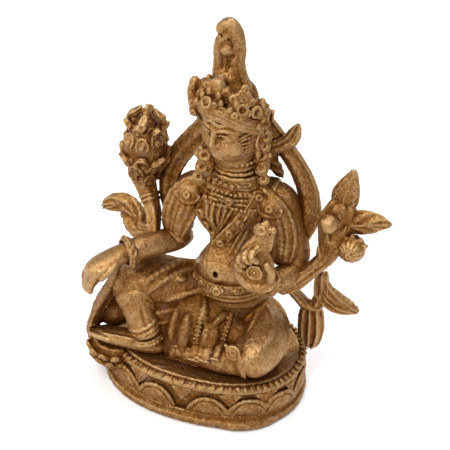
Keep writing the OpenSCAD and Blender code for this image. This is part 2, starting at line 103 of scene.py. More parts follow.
def spline(points, per_span=6):
    """Catmull-Rom curve through rows of numbers."""
    p = np.asarray(points, float)
    p = np.vstack([2 * p[0] - p[1], p, 2 * p[-1] - p[-2]])
    out = []
    for i in range(1, len(p) - 2):
        a, b, c, d = p[i - 1], p[i], p[i + 1], p[i + 2]
        for t in np.arange(per_span) / per_span:
            out.append(0.5 * (2 * b + (c - a) * t + (2 * a - 5 * b + 4 * c - d) * t * t
                              + (3 * b - a - 3 * c + d) * t ** 3))
    out.append(p[-2])
    return np.array(out)


def evenly(points, step):
    """Points a fixed step apart along a polyline."""
    p = np.asarray(points, float)
    s = np.concatenate([[0], np.cumsum(np.linalg.norm(np.diff(p, axis=0), axis=1))])
    n = max(int(round(s[-1] / step)), 1)
    return np.stack([np.interp(np.linspace(0, s[-1], n + 1), s, p[:, i]) for i in range(3)], 1)


# ---------------------------------------------------------------- what the frame says
def node_mesh(node):
    """The CAD node's welded mesh in millimetres."""
    bm = bmesh.new()
    bm.from_mesh(frame["nodes"][node].data)
    bmesh.ops.scale(bm, vec=(1 / MM,) * 3, verts=bm.verts)
    bmesh.ops.remove_doubles(bm, verts=bm.verts, dist=1e-3)
    return bm


def low_high(node):
    lo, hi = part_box(node)
    return np.array(lo) / MM, np.array(hi) / MM


def islands(bm):
    """Vertex groups of a mesh's separate solids."""
    seen, groups = set(), []
    for start in bm.verts:
        if start in seen:
            continue
        group, stack = [], [start]
        seen.add(start)
        while stack:
            v = stack.pop()
            group.append(v)
            for e in v.link_edges:
                o = e.other_vert(v)
                if o not in seen:
                    seen.add(o)
                    stack.append(o)
        groups.append(group)
    return groups


def solids(node):
    """Vertex positions of each separate solid in a node, ordered by angle round the node."""
    bm = node_mesh(node)
    clouds = [np.array([v.co[:] for v in g]) for g in islands(bm)]
    bm.free()
    mid = np.mean([c.mean(0) for c in clouds], 0)
    return sorted(clouds, key=lambda c: atan2(*(c.mean(0) - mid)[1::-1]))


class Limb:
    """Rows of a tube: centre, half widths A along U and B along V, and the axes U and V."""

    def __init__(self, rows):
        self.set_rows(np.asarray(rows, float))

    @classmethod
    def through(cls, rows, ref, fine=3):
        """From rows x, y, z, a, b; V leans towards ref and U is square to it."""
        rows = np.asarray(rows, float)
        if fine > 1 and len(rows) > 2:
            rows = spline(rows, fine)
        full = []
        for i, r in enumerate(rows):
            t = unit(rows[min(i + 1, len(rows) - 1)][:3] - rows[max(i - 1, 0)][:3])
            u = unit(np.cross(ref, t))
            full.append([*r, *u, *np.cross(t, u)])
        return cls(full)

    @classmethod
    def of(cls, rings, ref, fine=3):
        """From the CAD's rings of vertices."""
        mids = [r.mean(0) for r in rings]
        rows = []
        for i, ring in enumerate(rings):
            t = unit(mids[min(i + 1, len(mids) - 1)] - mids[max(i - 1, 0)])
            u = unit(np.cross(ref, t))
            v, d = np.cross(t, u), ring - mids[i]
            rows.append([*mids[i], np.abs(d @ u).max(), np.abs(d @ v).max() * 1.05])
        return cls.through(rows, ref, fine)

    def set_rows(self, rows):
        rows[:, 5:8] /= np.linalg.norm(rows[:, 5:8], axis=1, keepdims=True)
        rows[:, 8:11] /= np.linalg.norm(rows[:, 8:11], axis=1, keepdims=True)
        self.rows, self.C = rows, rows[:, :3]

    def part(self, a, b):
        """The stretch between fractions a and b, as a Limb of its own."""
        return Limb([self.frame(s) for s in np.linspace(a, b, max(int(abs(b - a) * len(self.rows)), 2) + 1)])

    def grown(self, a=0.0, b=0.0, u=0.0, v=0.0):
        """A copy with its half widths grown by a and b and its path shifted by u and v."""
        rows = self.rows.copy()
        rows[:, :3] += rows[:, 5:8] * u + rows[:, 8:11] * v
        rows[:, 3] = np.maximum(rows[:, 3] + a, 0.1)
        rows[:, 4] = np.maximum(rows[:, 4] + b, 0.1)
        return Limb(rows)

    def frame(self, s):
        x = np.clip(s, 0, 1) * (len(self.C) - 1)
        i = min(int(x), len(self.C) - 2)
        return mix(self.rows[i], self.rows[i + 1], x - i)

    def on(self, s, degrees, lift=0.0):
        """Point on the skin at fraction s, degrees from U towards V, lifted off by lift."""
        r = self.frame(s)
        u, v = unit(r[5:8]), unit(r[8:11])
        c, k = cosd(degrees), sind(degrees)
        out = unit(u * c / max(r[3], 0.1) + v * k / max(r[4], 0.1))
        return r[:3] + u * c * r[3] + v * k * r[4] + out * lift

    def out(self, s, degrees):
        return unit(self.on(s, degrees, 1.0) - self.on(s, degrees, 0.0))

    def line(self, stations, lift=0.0, per_span=8):
        """Curve on the skin through (s, degrees) stations."""
        return np.array([self.on(s, d, lift) for s, d in spline(stations, per_span)])


class Trunk(Limb):
    """A Limb of level rings, U along +X and V along +Y, read by height above the seat."""

    def __init__(self, *nodes):
        rows = []
        for node in nodes:
            for ring in cad_rings(node, (0, 0, -1))[0]:
                c = ring.mean(0)
                if rows and c[2] - rows[-1][2] < 0.05:
                    continue
                a, b = np.abs(ring - c).max(0)[:2]
                rows.append([*c, a, b * 1.02, 1, 0, 0, 0, 1, 0])
        super().__init__(spline(rows, 2))

    def frame(self, z):
        return np.array([np.interp(z + SEAT, self.rows[:, 2], column) for column in self.rows.T])

    def between(self, z0, z1):
        return Limb([self.frame(z) for z in np.linspace(z0, z1, max(int(abs(z1 - z0) / 1.2), 2) + 1)])


def cad_rings(node, first):
    """Rings of vertices of each tube in a node, from the end that lies furthest along first."""
    bm = node_mesh(node)
    flat = bm.copy()
    bmesh.ops.dissolve_limit(flat, angle_limit=0.004, verts=flat.verts, edges=flat.edges)
    caps = [np.array([v.co[:] for v in f.verts]) for f in flat.faces if len(f.verts) > 6]
    flat.free()
    tubes = []
    for group in islands(bm):
        points = np.array([v.co[:] for v in group])
        own = [c for c in caps if np.linalg.norm(points - c[0], axis=1).min() < 1e-3]
        cap = max(own, key=lambda c: np.dot(c.mean(0), first))
        layer = [v for v in group if np.linalg.norm(cap - np.array(v.co), axis=1).min() < 1e-3]
        seen, rings = set(layer), []
        while layer:
            rings.append(np.array([v.co[:] for v in layer]))
            following = []
            for v in layer:
                for e in v.link_edges:
                    o = e.other_vert(v)
                    if o not in seen:
                        seen.add(o)
                        following.append(o)
            layer = following
        tubes.append(rings)
    bm.free()
    return tubes


def limb(node, first, ref=(0, -1, 0), fine=3):
    return Limb.of(cad_rings(node, first)[0], ref, fine)


# ---------------------------------------------------------------- clay
def blend(a, b, k):
    """Smooth minimum of two distances over a fillet of about k."""
    if k <= 0:
        return np.minimum(a, b)
    h = np.maximum(k - np.abs(a - b), 0) / k
    return np.minimum(a, b) - h * h * k * 0.25


def corners(f):
    """The eight corners of a grid cell, each with its weight at the fractions f."""
    for dx in (0, 1):
        for dy in (0, 1):
            for dz in (0, 1):
                yield dx, dy, dz, ((f[:, 0] if dx else 1 - f[:, 0]) * (f[:, 1] if dy else 1 - f[:, 1])
                                   * (f[:, 2] if dz else 1 - f[:, 2]))


def read_block(block, g):
    """Trilinear reading of a block of numbers at grid places g."""
    g = np.clip(g, 0, np.array(block.shape) - 1.001)
    i = g.astype(int)
    total = 0
    for dx, dy, dz, w in corners(g - i):
        total = total + w * block[i[:, 0] + dx, i[:, 1] + dy, i[:, 2] + dz]
    return total


class Clay:
    def __init__(self, lo, hi, voxel=None):
        self.h = voxel or VOXEL
        self.lo = np.asarray(lo, float) - 4 * self.h
        self.n = np.ceil((np.asarray(hi, float) + 4 * self.h - self.lo) / self.h).astype(int) + 1
        self.d = np.full(self.n, FAR, np.float32)

    @classmethod
    def around(cls, *nodes, room=1.6, voxel=None):
        corners = [c for n in nodes for c in low_high(n)]
        return cls(np.min(corners, 0) - room, np.max(corners, 0) + room, voxel)

    def window(self, lo, hi):
        i = np.clip(np.floor((lo - self.lo) / self.h).astype(int), 0, self.n)
        j = np.clip(np.ceil((hi - self.lo) / self.h).astype(int) + 1, 0, self.n)
        if np.any(j <= i):
            return None, None
        where = tuple(slice(a, b) for a, b in zip(i, j))
        x, y, z = (self.lo[k] + self.h * np.arange(i[k], j[k]) for k in range(3))
        return where, (x[:, None, None], y[None, :, None], z[None, None, :])

    def put(self, lo, hi, shape, k=0.0, cut=False):
        """Blends a distance function, known inside a box, into the clay or out of it."""
        reach = k + 2.5 * self.h + 0.3
        where, grid = self.window(np.asarray(lo) - reach, np.asarray(hi) + reach)
        if where is None:
            return self
        d = shape(*grid).astype(np.float32)
        if cut:
            self.d[where] = -blend(-self.d[where], d, k)
        else:
            self.d[where] = blend(self.d[where], d, k)
        return self

    def ball(self, c, r, k=0.0, cut=False):
        c = vec(c)
        return self.put(c - r, c + r, lambda x, y, z: np.sqrt(
            (x - c[0]) ** 2 + (y - c[1]) ** 2 + (z - c[2]) ** 2) - r, k, cut)

    def lump(self, c, radii, axes=None, k=0.0, cut=False):
        """Ellipsoid whose radii lie along the rows of axes."""
        c, axes = vec(c), np.eye(3) if axes is None else np.array([unit(a) for a in axes])
        radii = np.asarray(radii, float)
        reach = np.abs(axes.T) @ radii

        def shape(x, y, z):
            p = (x - c[0], y - c[1], z - c[2])
            q = [sum(p[j] * axes[i, j] for j in range(3)) / radii[i] for i in range(3)]
            k0 = np.sqrt(q[0] ** 2 + q[1] ** 2 + q[2] ** 2)
            k1 = np.sqrt((q[0] / radii[0]) ** 2 + (q[1] / radii[1]) ** 2 + (q[2] / radii[2]) ** 2)
            return k0 * (k0 - 1) / (k1 + 1e-6)
        return self.put(c - reach, c + reach, shape, k, cut)

    def rod(self, a, b, ra, rb=None, k=0.0, cut=False):
        a, b = vec(a), vec(b)
        rb = ra if rb is None else rb
        ab = b - a
        length = max(np.dot(ab, ab), 1e-9)
        r = max(ra, rb)

        def shape(x, y, z):
            px, py, pz = x - a[0], y - a[1], z - a[2]
            t = np.clip((px * ab[0] + py * ab[1] + pz * ab[2]) / length, 0, 1)
            return np.sqrt((px - t * ab[0]) ** 2 + (py - t * ab[1]) ** 2
                           + (pz - t * ab[2]) ** 2) - (ra + (rb - ra) * t)
        return self.put(np.minimum(a, b) - r, np.maximum(a, b) + r, shape, k, cut)

    def wire(self, points, r, r_end=None, k=0.0, cut=False):
        """Round cord along a polyline, tapering from r to r_end."""
        points = np.asarray(points)
        radii = np.linspace(r, r if r_end is None else r_end, len(points))
        for i in range(len(points) - 1):
            self.rod(points[i], points[i + 1], radii[i], radii[i + 1], k, cut)
        return self

    def swell(self, points, r, k=0.0, cut=False):
        """Cord that is thickest in the middle and fades out at both ends."""
        points = np.asarray(points)
        radii = r * np.sqrt(np.sin(np.linspace(0.12, pi - 0.12, len(points))))
        for i in range(len(points) - 1):
            self.rod(points[i], points[i + 1], radii[i], radii[i + 1], k, cut)
        return self

    def beads(self, points, r, k=0.12):
        for p in points:
            self.ball(p, r, k)
        return self

    def sweep(self, tube, k=0.0, relief=None, fit=1.0, cut=False):
        """Elliptical tube along a Limb; relief(s, u, v) raises its skin in millimetres."""
        m = len(tube.C)
        for i in range(m - 1):
            r0, r1 = tube.rows[i], tube.rows[i + 1]
            ab = r1[:3] - r0[:3]
            length = max(np.dot(ab, ab), 1e-9)
            big = max(r0[3], r0[4], r1[3], r1[4]) * fit + 0.8

            def shape(x, y, z):
                p = [x - r0[0], y - r0[1], z - r0[2]]
                t = np.clip((p[0] * ab[0] + p[1] * ab[1] + p[2] * ab[2]) / length, 0, 1)
                q = [p[j] - t * ab[j] for j in range(3)]
                u = sum(q[j] * (r0[5 + j] + t * (r1[5 + j] - r0[5 + j])) for j in range(3))
                v = sum(q[j] * (r0[8 + j] + t * (r1[8 + j] - r0[8 + j])) for j in range(3))
                a = (r0[3] + t * (r1[3] - r0[3])) * fit
                b = (r0[4] + t * (r1[4] - r0[4])) * fit
                w2 = np.maximum(q[0] ** 2 + q[1] ** 2 + q[2] ** 2 - u * u - v * v, 0)
                c = np.minimum(a, b)
                k0 = np.sqrt((u / a) ** 2 + (v / b) ** 2 + w2 / c ** 2)
                k1 = np.sqrt((u / a ** 2) ** 2 + (v / b ** 2) ** 2 + w2 / c ** 4)
                d = k0 * (k0 - 1) / (k1 + 1e-4)
                if relief:
                    d = d - relief((i + t) / (m - 1), u / a, v / b)
                return d
            lo = np.minimum(r0[:3], r1[:3]) - big
            hi = np.maximum(r0[:3], r1[:3]) + big
            self.put(lo, hi, shape, k, cut)
        return self

    def leaf(self, root, tip, out, width, thick, k=0.15, vein=0.0, curl=0.0, plump=0.55):
        """Pointed leaf or petal from root to tip, its face towards out, its tip curled that way."""
        root, tip = vec(root), vec(tip)
        along = tip - root
        side = unit(np.cross(along, out))
        out = unit(np.cross(side, along))
        t = np.linspace(0, 1, 9)
        wide = np.sin(pi * (0.12 + 0.88 * t) ** plump) ** 0.8
        rows = [[*(root + along * s + out * curl * s * s), max(width / 2 * w, 0.12),
                 max(thick / 2 * (0.55 + 0.45 * w), 0.12), *side, *out] for s, w in zip(t, wide)]
        tube = Limb(rows)
        relief = None
        if vein:
            def relief(s, u, v):
                ribs = np.cos((np.abs(u) * 1.4 + s * 5.0) * 2 * pi)
                return vein * (0.5 * ribs * (v > 0) - 1.2 * np.exp(-(u / 0.12) ** 2) * (v > 0))
        return self.sweep(tube, k, relief)

    def petal(self, root, tip, out, width, thick, rim=0.3, k=0.25, curl=0.0):
        """Leaf with a raised edge all round it."""
        root, tip = vec(root), vec(tip)
        self.leaf(root, tip, out, width, thick, k, curl=curl)
        side = unit(np.cross(tip - root, out))
        out = unit(np.cross(side, tip - root))
        for x in (-1, 1):
            edge = [root + (tip - root) * s + out * (curl * s * s + thick * 0.40)
                    + side * x * width * 0.44 * sin(pi * (0.12 + 0.88 * s) ** 0.55) ** 0.8
                    for s in np.linspace(0.05, 1.0, 9)]
            self.wire(edge, rim, rim * 0.85, 0.12)
        return self

    def floret(self, c, out, r, k=0.15):
        """Small round curl with a pierced middle."""
        self.ball(vec(c) - unit(out) * r * 0.3, r, k)
        self.ring(vec(c) + unit(out) * r * 0.40, out, r * 0.56, r * 0.36, 0.15)
        return self.ball(vec(c) + unit(out) * r * 0.8, r * 0.26, 0.1, cut=True)

    def braid(self, points, r, out, k=0.2):
        """Raised cord set with a double row of beads."""
        points = evenly(points, 1.7 * r)
        self.wire(points, r * 0.9, k=k)
        for i, p in enumerate(points[1:-1]):
            side = unit(np.cross(points[i + 2] - points[i], out))
            for x in (-1, 1):
                self.ball(p + side * x * r * 0.75 + unit(out) * r * 0.75, r * 0.62, 0.06)
        return self

    def rosette(self, c, out, r, k=0.1, rim=0.0):
        """Ring-shaped boss with a sunk eye, like a nail head."""
        c, out = vec(c), unit(out)
        side = unit(np.cross(out, UP if abs(out[2]) < 0.9 else vec(1, 0, 0)))
        self.lump(c, (r, r, r * 0.55), (side, np.cross(out, side), out), k)
        self.ring(c + out * r * 0.35, out, r * 0.62, r * 0.26, 0.06)
        self.ball(c + out * r * 0.75, r * 0.42, 0.05, cut=True)
        if rim:
            up = np.cross(out, side)
            n = max(int(2 * pi * r * 1.12 / (rim * 2.3)), 6)
            for i in range(n):
                a = 2 * pi * i / n
                self.ball(c + (side * cos(a) + up * sin(a)) * r * 1.12 + out * r * 0.1, rim, 0.06)
        return self

    def ring(self, c, axis, r, t, k=0.0, cut=False):
        c, axis = vec(c), unit(axis)
        reach = r + t

        def shape(x, y, z):
            p = (x - c[0], y - c[1], z - c[2])
            w = p[0] * axis[0] + p[1] * axis[1] + p[2] * axis[2]
            flat = np.sqrt(np.maximum(p[0] ** 2 + p[1] ** 2 + p[2] ** 2 - w * w, 0))
            return np.sqrt((flat - r) ** 2 + w * w) - t
        return self.put(c - reach, c + reach, shape, k, cut)

    def below(self, z, k=0.0):
        """Cuts away everything under height z."""
        where, (x, y, zz) = self.window(self.lo, self.lo + self.n * self.h)
        self.d[where] = -blend(-self.d[where], (zz - z) + 0 * x + 0 * y, k).astype(np.float32) if k else \
            np.maximum(self.d[where], (z - zz).astype(np.float32))
        return self

    def band(self, outline, q0, q1, z0, z1, r=0.3, k=0.0, cut=False):
        """Rounded band that follows an outline, q millimetres out from it, between two heights."""
        a, b = outline.a + q1, outline.b + q1

        def shape(x, y, z):
            q, w = np.abs(outline.off(x, y) - (q0 + q1) / 2), np.abs(z - (z0 + z1) / 2)
            q, w = q - (q1 - q0) / 2 + r, w - (z1 - z0) / 2 + r
            return np.sqrt(np.maximum(q, 0) ** 2 + np.maximum(w, 0) ** 2) + np.minimum(np.maximum(q, w), 0) - r
        return self.put(vec(-a, -b, z0), vec(a, b, z1), shape, k, cut)

    def line(self, outline, q, z, r, k=0.0, cut=False):
        """Round moulding or groove of radius r all the way round an outline."""
        a, b = outline.a + q + r, outline.b + q + r
        return self.put(vec(-a, -b, z - r), vec(a, b, z + r), lambda x, y, zz: np.sqrt(
            (outline.off(x, y) - q) ** 2 + (zz - z) ** 2) - r, k, cut)

    def kept_to(self, other, extra, k=0.8):
        """Keeps only what lies within extra of another block's shape."""
        self.d = -blend(-self.d, -(other.d - extra), k)
        return self

    # ------------------------------------------------------------ reading the clay
    def sample(self, p):
        """Distances at points."""
        return read_block(self.d, (p - self.lo) / self.h)

    def skin(self):
        """Surface-net vertices and quads of the zero surface."""
        d = self.d
        s = d < 0
        cells = sum(s[a:d.shape[0] - 1 + a, b:d.shape[1] - 1 + b, c:d.shape[2] - 1 + c].astype(np.int8)
                    for a in (0, 1) for b in (0, 1) for c in (0, 1))
        active = (cells > 0) & (cells < 8)
        where = np.argwhere(active)
        index = np.full(active.shape, -1, np.int64)
        index[active] = np.arange(len(where))
        total, count = np.zeros((len(where), 3)), np.zeros(len(where))
        for axis in range(3):
            step = np.eye(3, dtype=int)[axis]
            others = [i for i in range(3) if i != axis]
            for p in (0, 1):
                for q in (0, 1):
                    corner = np.zeros(3, int)
                    corner[others[0]], corner[others[1]] = p, q
                    a = d[tuple((where + corner).T)]
                    b = d[tuple((where + corner + step).T)]
                    hit = (a < 0) != (b < 0)
                    t = np.where(hit, a / np.where(hit, a - b, 1), 0)
                    total += np.where(hit[:, None], corner + t[:, None] * step, 0)
                    count += hit
        points = self.lo + self.h * (where + total / count[:, None])
        quads = []
        for axis in range(3):
            u, v = [(1, 2), (2, 0), (0, 1)][axis]
            step = np.eye(3, dtype=int)
            a = s[tuple(slice(0, -1) if i == axis else slice(1, -1) for i in range(3))]
            b = s[tuple(slice(1, None) if i == axis else slice(1, -1) for i in range(3))]
            for inside, flip in ((a & ~b, False), (b & ~a, True)):
                e = np.argwhere(inside) + (1 - step[axis])
                ring = [e - step[u] - step[v], e - step[v], e, e - step[u]]
                face = np.stack([index[tuple(r.T)] for r in ring], 1)
                quads.append(face[:, ::-1] if flip else face)
        return points, np.concatenate(quads)


class Outline:
    """Superellipse about the origin, read by distance from it and by length along it."""

    def __init__(self, a, b, power):
        self.a, self.b, self.power = a, b, power
        t = np.linspace(0, 2 * pi, 2881)
        c, s = np.cos(t), np.sin(t)
        p = np.stack([a * np.sign(c) * np.abs(c) ** (2 / power), b * np.sign(s) * np.abs(s) ** (2 / power)], 1)
        arc = np.concatenate([[0], np.cumsum(np.linalg.norm(np.diff(p, axis=0), axis=1))])
        self.length = arc[-1]
        self.table = np.linspace(0, self.length, 1441)
        self.p = np.stack([np.interp(self.table, arc, p[:, i]) for i in (0, 1)], 1)
        d = np.roll(self.p[:-1], -1, 0) - np.roll(self.p[:-1], 1, 0)
        n = np.stack([d[:, 1], -d[:, 0]], 1)
        n = np.vstack([n, n[:1]])
        self.n = n / np.linalg.norm(n, axis=1, keepdims=True)

    def off(self, x, y):
        e = self.power
        u, v = np.abs(x) / self.a + 1e-6, np.abs(y) / self.b + 1e-6
        f = (u ** e + v ** e) ** (1 / e)
        g = np.sqrt((u ** (e - 1) / self.a) ** 2 + (v ** (e - 1) / self.b) ** 2) * f ** (1 - e)
        return (f - 1) / g

    def arc_of(self, point):
        return self.table[np.argmin(np.linalg.norm(self.p - np.asarray(point)[:2], axis=1))]

    def at(self, arc, q, z):
        arc = arc % self.length
        p = [np.interp(arc, self.table, self.p[:, i]) for i in (0, 1)]
        n = unit([np.interp(arc, self.table, self.n[:, i]) for i in (0, 1)])
        return vec(p[0] + n[0] * q, p[1] + n[1] * q, z)

    def out(self, arc):
        return unit(self.at(arc, 1, 0) - self.at(arc, 0, 0))


# ---------------------------------------------------------------- casting grain
_rng = np.random.RandomState(20)
LATTICE = _rng.rand(48, 48, 48).astype(np.float32)


def noise(p, scale):
    """Smooth value noise from -1 to 1 with features of about scale millimetres."""
    q = np.asarray(p) / scale + 100.0
    i = np.floor(q).astype(int)
    f = q - i
    f = f * f * (3 - 2 * f)
    i %= 48
    j = (i + 1) % 48
    total = 0
    for dx, dy, dz, w in corners(f):
        total = total + w * LATTICE[(j if dx else i)[:, 0], (j if dy else i)[:, 1], (j if dz else i)[:, 2]]
    return 2 * total - 1


# ---------------------------------------------------------------- pieces
PIECES = []


def piece(name, node, clay, grain=0.05):
    """Keeps a finished piece of clay; its mesh is made when all pieces are known."""
    PIECES.append({"name": name, "node": node, "slot": SLOT[node], "clay": clay, "grain": grain})


SLOT = {entry["node"]: entry["material_slot"] for entry in frame["record"]["subparts"]}


# ---------------------------------------------------------------- finishes
def finish(name, low, mid, high, rough, grain, tarnish):
    """Worn cast brass: brown in its hollows, as patina together with painted shade, pale gold where hands have
    rubbed it.
    """
    m = bpy.data.materials.new(name)
    m.use_nodes = True
    nt = m.node_tree
    nt.nodes.clear()

    def node(kind, x=0, **values):
        n = nt.nodes.new(kind)
        n.location = (x, -140 * len(nt.nodes))
        for key, value in values.items():
            setattr(n, key, value)
        return n

    def join(out, into):
        nt.links.new(out, into)

    def maths(op, a, b=None, c=None, clamp=False):
        n = node("ShaderNodeMath", operation=op, use_clamp=clamp)
        for i, v in enumerate((a, b, c)):
            if v is None:
                continue
            if isinstance(v, (int, float)):
                n.inputs[i].default_value = v
            else:
                join(v, n.inputs[i])
        return n.outputs[0]

    coords = node("ShaderNodeTexCoord").outputs["Object"]

    def noise_at(scale, detail=4.0, roughness=0.6):
        n = node("ShaderNodeTexNoise")
        n.inputs["Scale"].default_value = scale
        n.inputs["Detail"].default_value = detail
        n.inputs["Roughness"].default_value = roughness
        join(coords, n.inputs["Vector"])
        return n.outputs["Fac"]

    def read(name):
        return node("ShaderNodeAttribute", attribute_name=name).outputs["Fac"]

    bend, near, wide = read("bend"), read("near"), read("wide")
    blotch, speck, fine = noise_at(190.0, 5.0), noise_at(900.0, 4.0, 0.7), noise_at(2600.0, 3.0, 0.7)
    # Darker where much metal lies round a place (near, wide): patina together with painted shade in hollows,
    # creases and between parts. Lighter on convex edges (bend), where the brass is worn.
    dirt_and_shade = maths("MULTIPLY_ADD", maths("SUBTRACT", near, 0.30), 0.85, tarnish)
    dirt_and_shade = maths("MULTIPLY_ADD", maths("SUBTRACT", wide, 0.20), 1.1, dirt_and_shade)
    dirt_and_shade = maths("MULTIPLY_ADD", bend, -0.36, dirt_and_shade)
    dirt_and_shade = maths("MULTIPLY_ADD", maths("SUBTRACT", blotch, 0.5), 0.35, dirt_and_shade)
    dirt_and_shade = maths("MULTIPLY_ADD", maths("SUBTRACT", speck, 0.5), 0.6, dirt_and_shade)
    dirt_and_shade = maths("MULTIPLY_ADD", maths("SUBTRACT", fine, 0.5), 1.9, dirt_and_shade, clamp=True)
    ramp = node("ShaderNodeValToRGB")
    stops = ramp.color_ramp
    stops.elements[0].position, stops.elements[0].color = 0.0, (*high, 1)
    stops.elements[1].position, stops.elements[1].color = 1.0, (*low, 1)
    stops.elements.new(0.36).color = (*mid, 1)
    stops.elements.new(0.66).color = (*[0.45 * c + 0.55 * d for c, d in zip(mid, low)], 1)
    join(dirt_and_shade, ramp.inputs["Fac"])
    rose = node("ShaderNodeMix", data_type="RGBA", blend_type="MIX")
    patch = maths("MULTIPLY", maths("SUBTRACT", noise_at(310.0, 3.0), 0.56), 2.6, clamp=True)
    join(patch, rose.inputs["Factor"])
    join(ramp.outputs["Color"], rose.inputs["A"])
    rose.inputs["B"].default_value = (0.30, 0.19, 0.13, 1)
    shader = node("ShaderNodeBsdfPrincipled")
    join(rose.outputs["Result"], shader.inputs["Base Color"])
    shader.inputs["Metallic"].default_value = 1.0
    gloss = maths("MULTIPLY_ADD", dirt_and_shade, 0.30, rough - 0.10)
    gloss = maths("MULTIPLY_ADD", maths("SUBTRACT", speck, 0.5), 0.25, gloss, clamp=True)
    join(gloss, shader.inputs["Roughness"])
    bump = node("ShaderNodeBump")
    bump.inputs["Strength"].default_value = grain
    bump.inputs["Distance"].default_value = 0.00023
    height = maths("MULTIPLY_ADD", fine, 0.5, speck)
    join(height, bump.inputs["Height"])
    join(bump.outputs["Normal"], shader.inputs["Normal"])
    join(shader.outputs["BSDF"], node("ShaderNodeOutputMaterial").inputs["Surface"])
    return m


MATERIALS = {
    "smooth_brass": finish("smooth_brass", (0.170, 0.060, 0.008), (0.29, 0.138, 0.042), (0.41, 0.256, 0.114),
                           0.45, 0.9, 0.36),
    "cast_brass": finish("cast_brass", (0.155, 0.055, 0.007), (0.27, 0.127, 0.038), (0.38, 0.234, 0.102),
                         0.49, 1.0, 0.45),
    "dark_brass": finish("dark_brass", (0.135, 0.047, 0.007), (0.23, 0.106, 0.032), (0.34, 0.205, 0.086),
                         0.53, 1.0, 0.52),
    "plate_brass": finish("plate_brass", (0.160, 0.062, 0.012), (0.30, 0.148, 0.046), (0.42, 0.270, 0.118),
                          0.50, 0.9, 0.10),
}


# ---------------------------------------------------------------- base
SEAT = low_high("seat_slab")[1][2]
foot_hi = low_high("plinth")[1]
POWER = 2.2
rim = Outline(foot_hi[0] - 0.4, foot_hi[1] + 0.1, POWER)


def outline_of(node):
    return Outline(low_high(node)[1][0], low_high(node)[1][1], POWER)


def ledge(node, room=1.2):
    lo, hi = low_high(node)
    return Clay(lo - room, hi + room), lo[2], hi[2]


